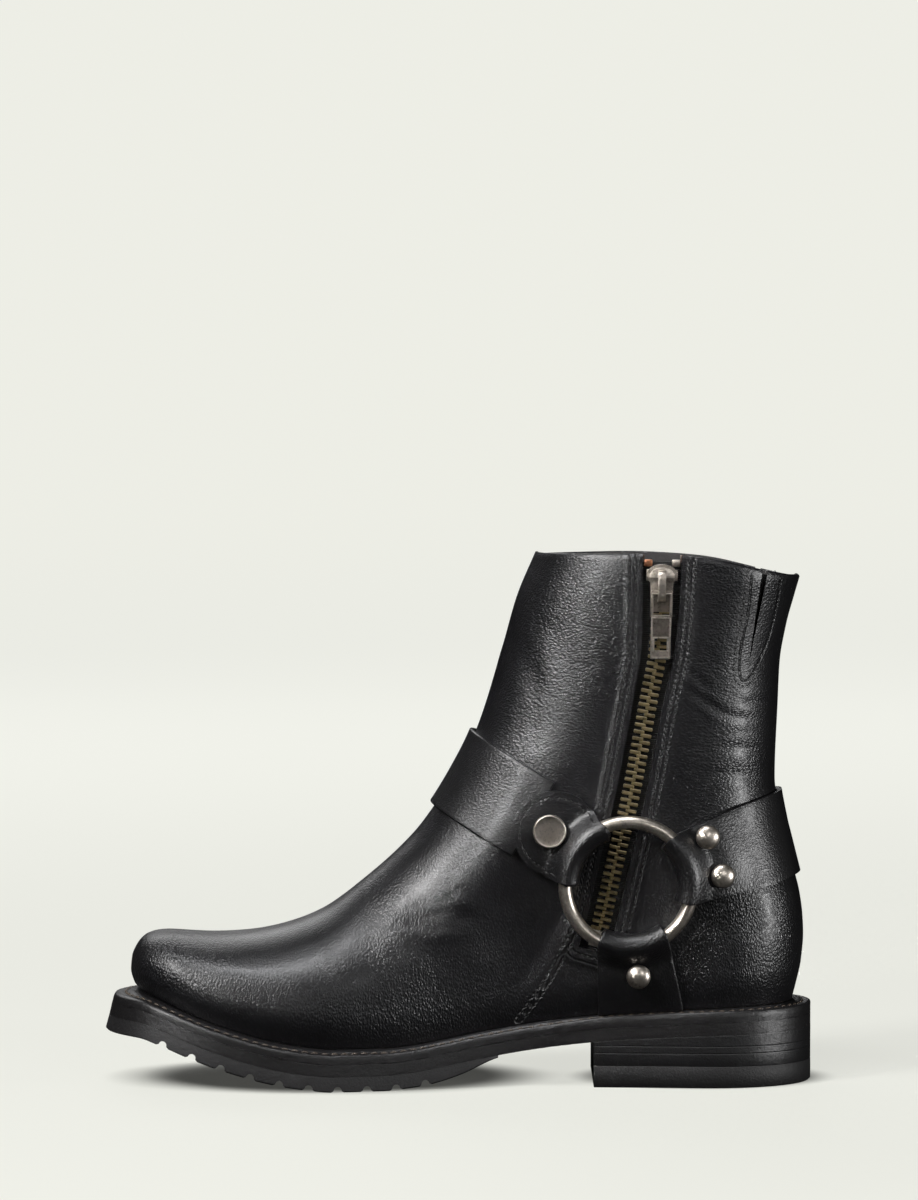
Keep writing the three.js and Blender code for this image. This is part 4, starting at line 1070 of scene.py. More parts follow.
def make_upper():
    grid = upper_grid(UPPER_ROWS)
    normals = grid_normals(grid, closed=True)
    outward = grid - np.stack([grid[..., 0], ridge_y(grid[..., 0]), grid[..., 2]], -1)
    if (normals * outward).sum() < 0:
        normals = -normals
    side = np.where(np.arange(grid.shape[1]) < UPPER_HALF, MEDIAL, LATERAL) * np.ones(grid.shape[:2])
    skin_grid = grid + normals * relief(side, grid[..., 0], grid[..., 2])[..., None]
    around = np.clip((np.arange(grid.shape[1]) - UPPER_HALF) / (grid.shape[1] - UPPER_HALF), 0, 1)
    drop = OUTER_DROP * np.sin(math.pi * around) ** 0.5 * np.linspace(0, 1, UPPER_ROWS)[:, None] ** 12
    grid[..., 2] -= drop
    skin_grid[..., 2] -= drop
    picks = np.linspace(0, UPPER_ROWS - 1, INNER_ROWS).astype(int)
    inner = (grid - normals * WALL)[picks]
    inner[0, :, 2] = grid[0, :, 2]
    rim_out, rim_in = skin_grid[-1], inner[-1]
    rise = np.array([0, 0, 1.0])
    rim = np.stack([
        lerp(rim_out, rim_in, share) + rise * high
        for share, high in ((0.12, 0.42), (0.36, 0.7), (0.64, 0.7), (0.88, 0.42))
    ])
    wall = np.concatenate([skin_grid, rim, inner[::-1]])
    rows, columns = wall.shape[:2]
    faces = grid_faces(rows, columns, closed=True) + closing_faces(rows, columns)
    lined = [0] * ((UPPER_ROWS + 3) * columns) + [1] * ((INNER_ROWS + 1) * columns)
    obj = make_object("upper_shell", wall.reshape(-1, 3), faces, [UPPER_LEATHER, LINING], lined)
    cut_away(obj, [
        side_cutter(zip_outline(), MEDIAL),
        side_cutter(slit_outline(), MEDIAL),
        side_cutter(slit_outline(), LATERAL),
    ])
    mesh = obj.data
    spots = vertex_places(mesh)
    x, y, z = spots.T
    zip_edge, _ = line_distance(zip_outline(), x, z)
    store(mesh, "zip_edge", np.where(y > ridge_y(x), zip_edge, FAR_FROM_ZIP))
    store(mesh, "slit_line", line_distance(bend_line(SLIT_SEAM, 60), x, z)[0])
    store(mesh, "seam_line", line_distance(bend_line(SIDE_SEAM, 24), x, z)[0])
    sharp_by_angle(obj, 40)
    return place(obj, "boot", "black_leather", "upper")


# Rows of small pieces that follow a line
def small_block(name, size, bevel, material):
    """A rounded block for a tooth of the zip, from its size along the zip, across it and outward."""
    mesh = bpy.data.meshes.new(name)
    x, y, z = [s * MM / 2 for s in size]
    points = [(a * x, b * y, c * z) for a in (-1, 1) for b in (-1, 1) for c in (-1, 1)]
    faces = [(0, 1, 3, 2), (4, 6, 7, 5), (0, 4, 5, 1), (2, 3, 7, 6), (0, 2, 6, 4), (1, 5, 7, 3)]
    mesh.from_pydata(points, [], faces)
    mesh.materials.append(material)
    obj = add_object(name, mesh)
    turn_outward(mesh)
    return rounded(obj, bevel, 1)


def stitch_piece(name, length, width, material):
    """One stitch: a low rounded bead of thread whose ends dip into the leather."""
    mesh = bpy.data.meshes.new(name)
    around = 6
    points = []
    shares = (0.0, 0.14, 0.5, 0.86, 1.0)
    for share in shares:
        radius = width / 2 * (0.35 + 0.65 * math.sin(math.pi * share) ** 0.5)
        dip = 0.5 * width * (1 - math.sin(math.pi * share))
        for k in range(around):
            turn = 2 * math.pi * k / around
            points.append((
                (share - 0.5) * length * MM,
                radius * math.cos(turn) * MM,
                (radius * 0.8 * math.sin(turn) - dip) * MM,
            ))
    faces = grid_faces(len(shares), around, closed=True) + end_caps(len(points), around)
    mesh.from_pydata(points, [], faces)
    shade_smooth(mesh)
    mesh.materials.append(material)
    obj = add_object(name, mesh)
    turn_outward(mesh)
    return obj


def follow_tree():
    """Sets a copy of a piece at equal steps along lines, its length along the line and its top outward."""
    tree = bpy.data.node_groups.new("pieces_along_lines", "GeometryNodeTree")
    kinds = {"Lines": "Geometry", "Pitch": "Float", "Piece": "Object", "Finish": "Material"}
    for name, kind in kinds.items():
        tree.interface.new_socket(name, in_out="INPUT", socket_type="NodeSocket" + kind)
    tree.interface.new_socket("Pieces", in_out="OUTPUT", socket_type="NodeSocketGeometry")
    given = tree.nodes.new("NodeGroupInput")
    curve = tree.nodes.new("GeometryNodeMeshToCurve")
    steps = tree.nodes.new("GeometryNodeResampleCurve")
    steps.mode = "LENGTH"
    outward = tree.nodes.new("GeometryNodeInputNamedAttribute")
    outward.data_type = "FLOAT_VECTOR"
    outward.inputs["Name"].default_value = "outward"
    tangent = tree.nodes.new("GeometryNodeInputTangent")
    axes = tree.nodes.new("FunctionNodeAxesToRotation")
    axes.primary_axis = "Z"
    axes.secondary_axis = "X"
    piece = tree.nodes.new("GeometryNodeObjectInfo")
    copies = tree.nodes.new("GeometryNodeInstanceOnPoints")
    real = tree.nodes.new("GeometryNodeRealizeInstances")
    paint = tree.nodes.new("GeometryNodeSetMaterial")
    result = tree.nodes.new("NodeGroupOutput")
    for source, output, target, entry in (
        (given, "Lines", curve, "Mesh"),
        (curve, "Curve", steps, "Curve"),
        (given, "Pitch", steps, "Length"),
        (outward, "Attribute", axes, "Primary Axis"),
        (tangent, "Tangent", axes, "Secondary Axis"),
        (given, "Piece", piece, "Object"),
        (steps, "Curve", copies, "Points"),
        (piece, "Geometry", copies, "Instance"),
        (axes, "Rotation", copies, "Rotation"),
        (copies, "Instances", real, "Geometry"),
        (real, "Geometry", paint, "Geometry"),
        (given, "Finish", paint, "Material"),
        (paint, "Geometry", result, "Pieces"),
    ):
        tree.links.new(source.outputs[output], target.inputs[entry])
    return tree


FOLLOW = follow_tree()


def along_lines(name, lines, pitch, piece, material):
    """Joined copies of a small piece along lines of points and outward directions; the piece itself goes."""
    points, edges, outward = [], [], []
    for spots, normals in lines:
        start = len(points)
        points += [tuple(p) for p in to_packed(spots)]
        outward += [tuple(n) for n in normals]
        edges += [(start + i, start + i + 1) for i in range(len(spots) - 1)]
    mesh = bpy.data.meshes.new(name)
    mesh.from_pydata(points, edges, [])
    attribute = mesh.attributes.new("outward", "FLOAT_VECTOR", "POINT")
    attribute.data.foreach_set("vector", np.array(outward, np.float32).ravel())
    obj = add_object(name, mesh)
    modifier = obj.modifiers.new("follow", "NODES")
    modifier.node_group = FOLLOW
    values = {"Pitch": pitch * MM, "Piece": piece, "Finish": material}
    for item in FOLLOW.interface.items_tree:
        if item.in_out == "INPUT" and item.name in values:
            modifier[item.identifier] = values[item.name]
    apply_modifiers(obj)
    bpy.data.objects.remove(piece)
    return obj


def surface_line(side, line, lift):
    """A side-view line laid on the leather, with the leather's outward directions."""
    x, z = line[:, 0], line[:, 1]
    raised = lift + relief(np.full(x.shape, side), x, z)
    return lifted(side, x, z, raised), skin_normal(side, x, z)


STITCH_PITCH = 2.15
STITCH_LIFT = 0.12
SLIT_SECOND_ROW = 2.1
SIDE_SEAM_ROW = 1.4


def offset_line(line, offset):
    slope = unit(np.gradient(line, axis=0))
    return line + np.stack([-slope[:, 1], slope[:, 0]], -1) * offset


def make_stitches():
    """Double rows beside the zip, round the slits and down the side seams."""
    thread = stitch_piece("thread_bead", 1.85, 0.72, THREAD)
    lines = []
    distance = np.linspace(3, ZIP_END + 1, 160)
    for hand in (1, -1):
        for row in ZIP_SEAM_ROWS:
            line = beside_zip(distance, hand * (zip_half(distance) + row))
            lines.append(surface_line(MEDIAL, line, STITCH_LIFT))
    foot = beside_zip(np.full(12, ZIP_END + 2.6), np.linspace(-zip_half(ZIP_END), zip_half(ZIP_END), 12))
    lines.append(surface_line(MEDIAL, foot, STITCH_LIFT))
    for side in (MEDIAL, LATERAL):
        slit = bend_line(SLIT_SEAM, 60)
        lines.append(surface_line(side, slit, STITCH_LIFT))
        lines.append(surface_line(side, offset_line(slit, SLIT_SECOND_ROW)[4:34], STITCH_LIFT))
        for row in (-SIDE_SEAM_ROW, SIDE_SEAM_ROW):
            seam = offset_line(bend_line(SIDE_SEAM, 30), row)
            lines.append(surface_line(side, seam, STITCH_LIFT))
    obj = along_lines("upper_stitches", lines, STITCH_PITCH, thread, THREAD)
    return place(obj, "boot", "black_leather")


# Harness
RING_RADIUS = (RING_DIAMETER - RING_WIRE) / 2
FOLD_RADIUS = RING_WIRE / 2 + FOLD_SLACK + STRAP_THICKNESS / 2
SINGLE_LIFT = STRAP_GAP + STRAP_THICKNESS / 2
DOUBLE_LIFT = SINGLE_LIFT + STRAP_THICKNESS + GAP
RING_LIFT = SINGLE_LIFT + FOLD_RADIUS
FOLD_BLEND = 9
STEP_BLEND = 4
UNDER_STEPS = 12
FOLD_STEPS = 19
OVER_START = 2.5
OVER_STEP = 1.1


class Ring:
    """Place of a harness ring: it lies along the skin, over the straps' folds."""

    def __init__(self, side):
        self.side = side
        angles = np.radians([TAB_ANGLE, REAR_ANGLE, SOLE_STRAP_ANGLE])
        x = RING_X + RING_RADIUS * np.cos(angles)
        z = RING_Z + RING_RADIUS * np.sin(angles)
        a, b, c = skin(side, x, z)
        self.outward = unit(np.cross(b - a, c - a))
        if self.outward[1] * side < 0:
            self.outward = -self.outward
        east = np.array([1.0, 0, 0])
        north = np.array([0, 0, 1.0])
        self.forward = unit(east - self.outward * self.outward[0])
        up = north - self.outward * self.outward[2]
        self.upward = unit(up - self.forward * (up @ self.forward))
        self.center = skin(side, RING_X, RING_Z)
        least = min(self.height(self.point(math.radians(a), RING_RADIUS)) for a in range(0, 360, 10))
        self.center = self.center + self.outward * (RING_LIFT - least)

    def point(self, angle, radius):
        return self.center + self.forward * math.cos(angle) * radius + self.upward * math.sin(angle) * radius

    def height(self, spot):
        """Height of a spot over the skin."""
        x, _, z = spot
        return float((spot - skin(self.side, x, z)) @ skin_normal(self.side, x, z))


RINGS = {side: Ring(side) for side in (MEDIAL, LATERAL)}


def strap_lift(distance, from_lift, doubled):
    base = DOUBLE_LIFT if doubled else SINGLE_LIFT
    step = (DOUBLE_LIFT - base) * (1 - smooth(distance, 0.6 * UNDER_LAYER, UNDER_LAYER + 2 * STEP_BLEND + 1))
    return base + step + (from_lift - DOUBLE_LIFT) * (1 - smooth(distance, 0, FOLD_BLEND))


def folded_strip(ring, angle, aim, doubled=False, last=None):
    """One strip of a strap: its layer under the ring, round the wire, and along the skin towards a spot."""
    side = ring.side
    wire = ring.point(angle, RING_RADIUS)
    away = ring.point(angle, RING_RADIUS + 1) - wire
    aim = np.array(aim)
    heading = unit(aim - wire[[0, 2]])
    wire_lift = ring.height(wire)
    under = np.linspace(UNDER_LAYER, 0.25 * UNDER_LAYER, UNDER_STEPS)
    spots = wire[[0, 2]] + heading * under[:, None]
    rise = (wire_lift - FOLD_RADIUS - SINGLE_LIFT) * (1 - under / UNDER_LAYER)
    low = lifted(side, spots[:, 0], spots[:, 1], SINGLE_LIFT + rise)
    turn = np.pi * (1.5 - np.linspace(0, 1, FOLD_STEPS))
    round_wire = wire + FOLD_RADIUS * (away * np.cos(turn)[:, None] + ring.outward * np.sin(turn)[:, None])
    reach = float(np.linalg.norm(aim - wire[[0, 2]]))
    end = last if last is not None else reach - 1
    over = np.arange(OVER_START, end, OVER_STEP)
    spots = wire[[0, 2]] + heading * over[:, None]
    high = lifted(side, spots[:, 0], spots[:, 1], strap_lift(over, wire_lift + FOLD_RADIUS, doubled))
    return np.concatenate([low, round_wire, high])


STRAP_ROWS = 23
FOLD_SPAN = 2 * math.asin(FOLD_WIDTH / 2 / RING_RADIUS)


def across(j):
    """Distance of a strap's row from its middle line."""
    return (j / (STRAP_ROWS - 1) - 0.5) * STRAP_WIDTH


def fold_angle(j, middle):
    return math.radians(middle) + FOLD_SPAN * (j / (STRAP_ROWS - 1) - 0.5)


class Band:
    """A strap round the front or back of the boot, seen from the side as a straight band."""

    def __init__(self, start, angle):
        self.start = np.array(start)
        self.along = np.array([math.cos(math.radians(angle)), math.sin(math.radians(angle))])
        self.aside = np.array([-self.along[1], self.along[0]])

    def at(self, distance, offset):
        return self.start + self.along * np.asarray(distance, float)[..., None] + self.aside * offset

    def reach(self, offset):
        distance = np.linspace(0, BOOT_LENGTH / 2, 4001)
        x, z = self.at(distance, offset).T
        up = z - feather_z(x)
        outside = (x > front_x(up)) | (x < back_x(up))
        return float(distance[np.argmax(outside)]) - 0.01

    def row(self, offset, start_in, start_out, steps):
        """Points on the skin from the inner side's start, over the ridge, to the outer side's start."""
        far = self.reach(offset)
        k = np.arange(-steps, steps + 1)
        side = np.where(k < 0, MEDIAL, LATERAL)
        start = np.where(k < 0, start_in, start_out)
        share = (k / steps) ** 2
        x, z = self.at(lerp(far, start, share), offset).T
        points = skin(side, x, z)
        points[steps, 1] = ridge_y(x[steps])
        return points


def lift_grid(grid, lift):
    normals = grid_normals(grid)
    if grid[1, 1, 1] * normals[1, 1, 1] < 0:
        normals = -normals
    return grid + normals * lift


BAND_START = RING_RADIUS + UNDER_LAYER + 1 + 2 * STEP_BLEND
BAND_STEPS = 44


def soften(grid, along=5, aside=2):
    """Takes the corners out of a strap's grid, along it and a little across it."""
    grid = relax(grid, along)
    return relax(grid.transpose(1, 0, 2), aside).transpose(1, 0, 2)


def band_grid(line, start, outer_angle, count, inner_angle=None):
    """Strap round the boot, folded round the outer ring, and round the inner one where an angle is given."""
    rows = [line.row(across(j), start, BAND_START, BAND_STEPS) for j in range(STRAP_ROWS)]
    full = []
    for j, row in enumerate(lift_grid(np.array(rows), SINGLE_LIFT)):
        aim = line.at(BAND_START, across(j))
        parts = [row, folded_strip(RINGS[LATERAL], fold_angle(j, outer_angle), aim)[::-1]]
        if inner_angle is not None:
            parts.insert(0, folded_strip(RINGS[MEDIAL], fold_angle(j, inner_angle), aim))
        full.append(resample(np.concatenate(parts), count))
    return soften(np.array(full))


def rear_strap_grid():
    line = Band((RING_X, RING_Z), REAR_ANGLE)
    return band_grid(line, BAND_START, REAR_ANGLE, 260, inner_angle=REAR_ANGLE)


def front_strap_grid():
    line = Band((RING_X, RING_Z + FRONT_STRAP_OFFSET), FRONT_STRAP_ANGLE)
    return band_grid(line, RING_RADIUS + UNDER_LAYER + 2, TAB_ANGLE, 240)


def snap_tab_grid():
    ring = RINGS[MEDIAL]
    along = np.array([math.cos(math.radians(TAB_ANGLE)), math.sin(math.radians(TAB_ANGLE))])
    aside = np.array([-along[1], along[0]])
    half = STRAP_WIDTH / 2
    rows = []
    for turn in np.pi * (np.linspace(0, 1, 31) - 0.5):
        offset = half * math.sin(turn)
        end = TAB_REACH - half + half * math.cos(turn) * 0.98
        aim = np.array([RING_X, RING_Z]) + along * end + aside * offset
        angle = math.radians(TAB_ANGLE) + FOLD_SPAN / 2 * math.sin(turn)
        wire = ring.point(angle, RING_RADIUS)
        reach = float(np.linalg.norm(aim - wire[[0, 2]]))
        points = folded_strip(ring, angle, aim, doubled=True, last=reach - 0.4)
        tip = lifted(MEDIAL, aim[0], aim[1], strap_lift(reach, ring.height(wire) + FOLD_RADIUS, True))
        rows.append(resample(np.concatenate([points, tip[None]]), 84))
    return soften(np.array(rows), 3, 1)


SOLE_STRAP_BACK = 5


def sole_strap_grid(side):
    ring = RINGS[side]
    rows = []
    for j in range(STRAP_ROWS):
        x = RING_X - SOLE_STRAP_BACK + across(j)
        aim = (x, float(feather_z(x)) + 2 * GAP)
        angle = fold_angle(j, SOLE_STRAP_ANGLE)
        reach = float(np.linalg.norm(np.array(aim) - ring.point(angle, RING_RADIUS)[[0, 2]]))
        points = folded_strip(ring, angle, aim, last=reach)
        tip = lifted(side, aim[0], aim[1], SINGLE_LIFT)
        rows.append(resample(np.concatenate([points, tip[None]]), 90))
    return soften(np.array(rows))


STRAP_ROUNDING = 0.55


def make_strap(name, grid, node):
    obj = sheet(name, grid, STRAP_THICKNESS, [STRAP_LEATHER], STRAP_ROUNDING)
    return place(obj, "boot", "black_leather", node)


def make_rings():
    around, wire = 128, 24
    for side, name in ((MEDIAL, "ring_medial"), (LATERAL, "ring_lateral")):
        ring = RINGS[side]
        turn = np.linspace(0, 2 * np.pi, around, endpoint=False)
        spin = np.linspace(0, 2 * np.pi, wire, endpoint=False)
        radial = np.cos(turn)[:, None] * ring.forward + np.sin(turn)[:, None] * ring.upward
        dents = np.array([noise.noise(Vector(tuple(spot * 3.0))) for spot in radial]) * 0.06
        radius = (RING_WIRE / 2 + dents)[:, None, None]
        middle = ring.center + radial * RING_RADIUS
        cosine, sine = np.cos(spin)[None, :, None], np.sin(spin)[None, :, None]
        points = middle[:, None] + radius * (radial[:, None] * cosine + ring.outward * sine)
        faces = grid_faces(around, wire, closed=True) + closing_faces(around, wire)
        obj = make_object("harness_" + name, points.reshape(-1, 3), faces, [NICKEL])
        place(obj, "boot", "antique_nickel", name)


def turned(name, profile, matrix, materials, around=40):
    """A turned piece from its profile of radius and height, set in a frame in millimetres."""
    spin = np.linspace(0, 2 * np.pi, around, endpoint=False)
    rings = [(r * np.cos(spin), r * np.sin(spin), np.full(around, h)) for r, h in profile]
    points = np.array(rings).transpose(0, 2, 1).reshape(-1, 3)
    faces = grid_faces(len(profile), around, closed=True) + end_caps(len(points), around)
    return make_object(name, in_frame(points, matrix), faces, materials)


def stud_frame(node):
    """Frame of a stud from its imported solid: the middle of its base and its axis."""
    co = np.array([v.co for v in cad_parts[node].data.vertices], float).reshape(-1, 3) / MM - SHIFT
    middle = co.mean(0)
    side = MEDIAL if middle[1] > 0 else LATERAL
    outward = skin_normal(side, middle[0], middle[2])
    base = ((co - middle) @ outward).min()
    inside = co - middle - ((co - middle) @ outward)[:, None] * outward
    middle = middle + inside.mean(0) + outward * base
    along = unit(np.array([0, 0, 1.0]) - outward * outward[2])
    return frame_matrix(along, outward, middle)


RIVET_HEIGHT = 0.3 * RIVET_DIAMETER
CAP_HEIGHT = 0.12 * CAP_DIAMETER
RIVET_NODES = (
    "rivet_rear_medial_1", "rivet_rear_medial_2", "rivet_sole_strap_medial", "rivet_rear_lateral_1",
    "rivet_rear_lateral_2", "rivet_sole_strap_lateral", "rivet_front_lateral_1", "rivet_front_lateral_2",
)


def make_studs():
    r = RIVET_DIAMETER / 2
    dome = [(r * 0.97, -0.25), (r, 0.1)]
    for turn in np.linspace(0.12, 1.5, 11):
        dome.append((r * math.cos(turn), 0.1 + (RIVET_HEIGHT - 0.1) * math.sin(turn)))
    for node in RIVET_NODES:
        obj = turned("domed_" + node, dome, stud_frame(node), [NICKEL])
        place(obj, "boot", "antique_nickel", node)
    r = CAP_DIAMETER / 2
    flat = [
        (r * 0.97, -0.25), (r, 0.05), (r, 0.55 * CAP_HEIGHT), (r * 0.985, 0.8 * CAP_HEIGHT),
        (r * 0.95, 0.97 * CAP_HEIGHT), (r * 0.915, CAP_HEIGHT), (r * 0.87, 0.93 * CAP_HEIGHT),
        (r * 0.82, 0.86 * CAP_HEIGHT), (r * 0.5, 0.9 * CAP_HEIGHT), (r * 0.05, 0.95 * CAP_HEIGHT),
    ]
    obj = turned("snap_button", flat, stud_frame("snap_cap"), [NICKEL], 56)
    place(obj, "boot", "antique_nickel", "snap_cap")


TAB_FOLD = 48
TAB_INSET = 2.3


def tab_seam(grid):
    """Line a little inside the snap tab's edge, from the ring round its end and back."""
    normals = grid_normals(grid)
    if normals[..., 1].mean() < 0:
        normals = -normals
    near, up = grid[:, TAB_FOLD:], normals[:, TAB_FOLD:]
    path = np.concatenate([near[0], near[1:-1, -1], near[-1][::-1]])
    outward = np.concatenate([up[0], up[1:-1, -1], up[-1][::-1]])
    inward = np.cross(outward, unit(np.gradient(path, axis=0)))
    if ((near.reshape(-1, 3).mean(0) - path) * inward).sum() < 0:
        inward = -inward
    return relax(path + inward * TAB_INSET + outward * STRAP_THICKNESS / 2, 8), outward


def make_snap_tab():
    grid = snap_tab_grid()
    path, outward = tab_seam(grid)
    obj = sheet("snap_tab_leather", grid, STRAP_THICKNESS, [TAB_LEATHER], STRAP_ROUNDING)
    spots = vertex_places(obj.data)
    away = np.linalg.norm(spots[:, None] - path[None], axis=2).min(1)
    store(obj.data, "tab_line", away)
    place(obj, "boot", "black_leather", "snap_tab")
    thread = stitch_piece("tab_bead", 1.75, 0.8, THREAD)
    lines = [(path + outward * 0.05, outward)]
    stitches = along_lines("snap_tab_stitches", lines, STITCH_PITCH, thread, THREAD)
    place(stitches, "boot", "black_leather")


def make_harness():
    make_rings()
    make_strap("rear_harness_strap", rear_strap_grid(), "rear_strap")
    make_strap("front_harness_strap", front_strap_grid(), "front_strap")
    make_snap_tab()
    make_strap("sole_strap_inner", sole_strap_grid(MEDIAL), "sole_strap_medial")
    make_strap("sole_strap_outer", sole_strap_grid(LATERAL), "sole_strap_lateral")
    make_studs()


# Zip
TEETH_LIFT = -(WALL - TOOTH_THICKNESS / 2) + GAP / 2
ZIP_START = 3.0
SLIDER_PLACE = ZIP_START + 7.5
SLIDER_TAIL = 0.7 * SLIDER_WIDTH
CHAIN_START = SLIDER_PLACE + SLIDER_TAIL + GAP
CHAIN_END = ZIP_LENGTH - 12
TAPE_STEPS = 90
TAPE_COLUMNS = 15


def zip_frame(distance, offset, lift):
    """Frame on the zip: across, up the shaft and outward, in millimetres."""
    spot, aside = zip_place(distance)
    x, z = spot + aside * offset
    outward = skin_normal(MEDIAL, x, z)
    heading = np.array([-aside[1], 0, aside[0]])
    along = unit(heading - outward * (outward @ heading))
    return frame_matrix(along, outward, lifted(MEDIAL, x, z, lift))


def make_tape():
    distance = np.linspace(ZIP_START + 1, ZIP_END + 3, TAPE_STEPS)
    share = np.linspace(1, -1, TAPE_COLUMNS)
    half = zip_half(distance) + TAPE_MARGIN
    spots = beside_zip(distance[:, None] * np.ones(TAPE_COLUMNS), half[:, None] * share)
    grid = lifted(MEDIAL, spots[..., 0], spots[..., 1], -(WALL + GAP + TAPE_THICKNESS / 2))
    obj = sheet("zip_tape_woven", grid, TAPE_THICKNESS, [TAPE], 0)
    sharp_by_angle(obj)
    place(obj, "boot", "zip_fabric", "zip_tape")


TOOTH_LENGTH = 4.2
TOOTH_WIDTH = 1.3
TOOTH_AWAY = (CHAIN_WIDTH - TOOTH_LENGTH) / 2 + 0.3
TOOTH_STEP = 0.985 * TOOTH_PITCH


def tooth_line(hand, first):
    """Line of tooth middles on one side of the zip."""
    distance = np.arange(first, CHAIN_END, TOOTH_PITCH)
    spots = beside_zip(distance, hand * TOOTH_AWAY * np.ones(len(distance)))
    points = lifted(MEDIAL, spots[:, 0], spots[:, 1], TEETH_LIFT)
    return points, skin_normal(MEDIAL, spots[:, 0], spots[:, 1])


def make_teeth():
    """Two rows of teeth, half a pitch apart; the step is a little short so that both rows get as many."""
    tooth = small_block("brass_tooth", (TOOTH_WIDTH, TOOTH_LENGTH, TOOTH_THICKNESS), 0.26, BRASS)
    lines = [tooth_line(1, CHAIN_START), tooth_line(-1, CHAIN_START + TOOTH_PITCH / 2)]
    obj = along_lines("zip_teeth", lines, TOOTH_STEP, tooth, BRASS)
    place(obj, "boot", "antique_brass", "zip_chain")


def plate(points, low, high, matrix, holes=()):
    """Flat plate with straight holes, as points and faces for one mesh, from its outline in a frame."""
    curve = bpy.data.curves.new("plate", "CURVE")
    curve.dimensions = "2D"
    curve.fill_mode = "BOTH"
    curve.extrude = (high - low) / 2
    for loop in (points, *holes):
        spline = curve.splines.new("POLY")
        spline.points.add(len(loop) - 1)
        for point, (x, y) in zip(spline.points, loop):
            point.co = (x, y, 0, 1)
        spline.use_cyclic_u = True
    obj = add_object("plate", curve)
    graph = bpy.context.evaluated_depsgraph_get()
    mesh = bpy.data.meshes.new_from_object(obj.evaluated_get(graph))
    bpy.data.objects.remove(obj)
    co = np.empty(len(mesh.vertices) * 3)
    mesh.vertices.foreach_get("co", co)
    co = co.reshape(-1, 3) + np.array([0, 0, (low + high) / 2])
    faces = [tuple(polygon.vertices) for polygon in mesh.polygons]
    return in_frame(co, matrix), faces


WELD_REACH = 0.01


def join_parts(name, parts, materials, tones, bevel):
    """One object from several closed plates, each in its own finish, with their edges rounded."""
    points, faces, finishes = [], [], []
    for (part_points, part_faces), tone in zip(parts, tones):
        start = len(points)
        points += list(part_points)
        faces += [tuple(p + start for p in face) for face in part_faces]
        finishes += [tone] * len(part_faces)
    obj = make_object(name, np.array(points), faces, materials, finishes)
    merge = obj.modifiers.new("weld", "WELD")
    merge.merge_threshold = WELD_REACH * MM
    apply_modifiers(obj)
    rounded(obj, bevel, 2, 30)
    return obj


def arc(cx, cy, rx, ry, start, end, count):
    turn = np.radians(np.linspace(start, end, count))
    return [(cx + rx * math.cos(t), cy + ry * math.sin(t)) for t in turn]


PIVOT_Y = -0.4 * SLIDER_WIDTH
PIVOT_Z = 3.0
PULL_TILT = 3.2
CROWN_PATH = (
    (3.3, 1.2), (3.2, 2.8), (2.7, 3.9), (1.6, 4.5), (-2, 4.7),
    (-6, 4.6), (-7.3, 4.2), (-8, 3.3), (-8.2, 1.4),
)


def bent_strip(path, width, thickness, matrix):
    """Strip of metal bent along a path of (along, out) points, as points and faces."""
    path = np.array(path, float)
    slope = unit(np.gradient(path, axis=0))
    normal = np.stack([-slope[:, 1], slope[:, 0]], -1)
    points = []
    for (y, z), (ny, nz) in zip(path, normal):
        for x, out in ((-1, -1), (1, -1), (1, 1), (-1, 1)):
            points.append((x * width / 2, y + ny * out * thickness / 2, z + nz * out * thickness / 2))
    faces = grid_faces(len(path), 4, closed=True) + end_caps(len(points), 4)
    return in_frame(np.array(points), matrix), faces


def make_slider():
    half = SLIDER_WIDTH / 2
    tail = 0.73 * half
    matrix = zip_frame(SLIDER_PLACE, 0, 0)
    dome = arc(0, 2.4, half * 0.93, 3.4, 172, 8, 15)
    head = [(-half, 0.6), (-half, 2.6), *dome, (half, 2.6), (half, 0.6)]
    low = -1.5 * SLIDER_TAIL
    right = [(half * 0.9, -0.3), (tail, -1.2), (tail * 0.97, -SLIDER_TAIL), (tail * 0.8, low)]
    left = [(-x, y) for x, y in reversed(right)]
    rim = [(x * 0.8, 1.0 + (y - 1.0) * 0.76) for x, y in head]
    crown = relax(resample(np.array(CROWN_PATH, float), 26), 4)
    parts = [
        plate(head + right + left, 0.45, 1.55, matrix),
        plate(rim, 1.5, 2.0, matrix),
        bent_strip(crown, 3.0, 0.9, matrix),
    ]
    for hand in (-1, 1):
        inner, outer = hand * half - hand * 0.9, hand * half
        parts.append(plate([(inner, 3.6), (inner, -0.6), (outer, -0.6), (outer, 3.6)], -1.6, 0.5, matrix))
    obj = join_parts("zip_slider_body", parts, [NICKEL, DARK_NICKEL], (1, 0, 0, 0, 0), 0.16)
    sharp_by_angle(obj)
    place(obj, "boot", "antique_nickel", "zip_slider")


def box_outline(width, top, bottom):
    return [(-width, top), (-width, bottom), (width, bottom), (width, top)]


PULL_BAR = 0.8
PULL_CORNER = 0.9
PULL_WAIST = 0.35
WINDOW_HEIGHT = 8


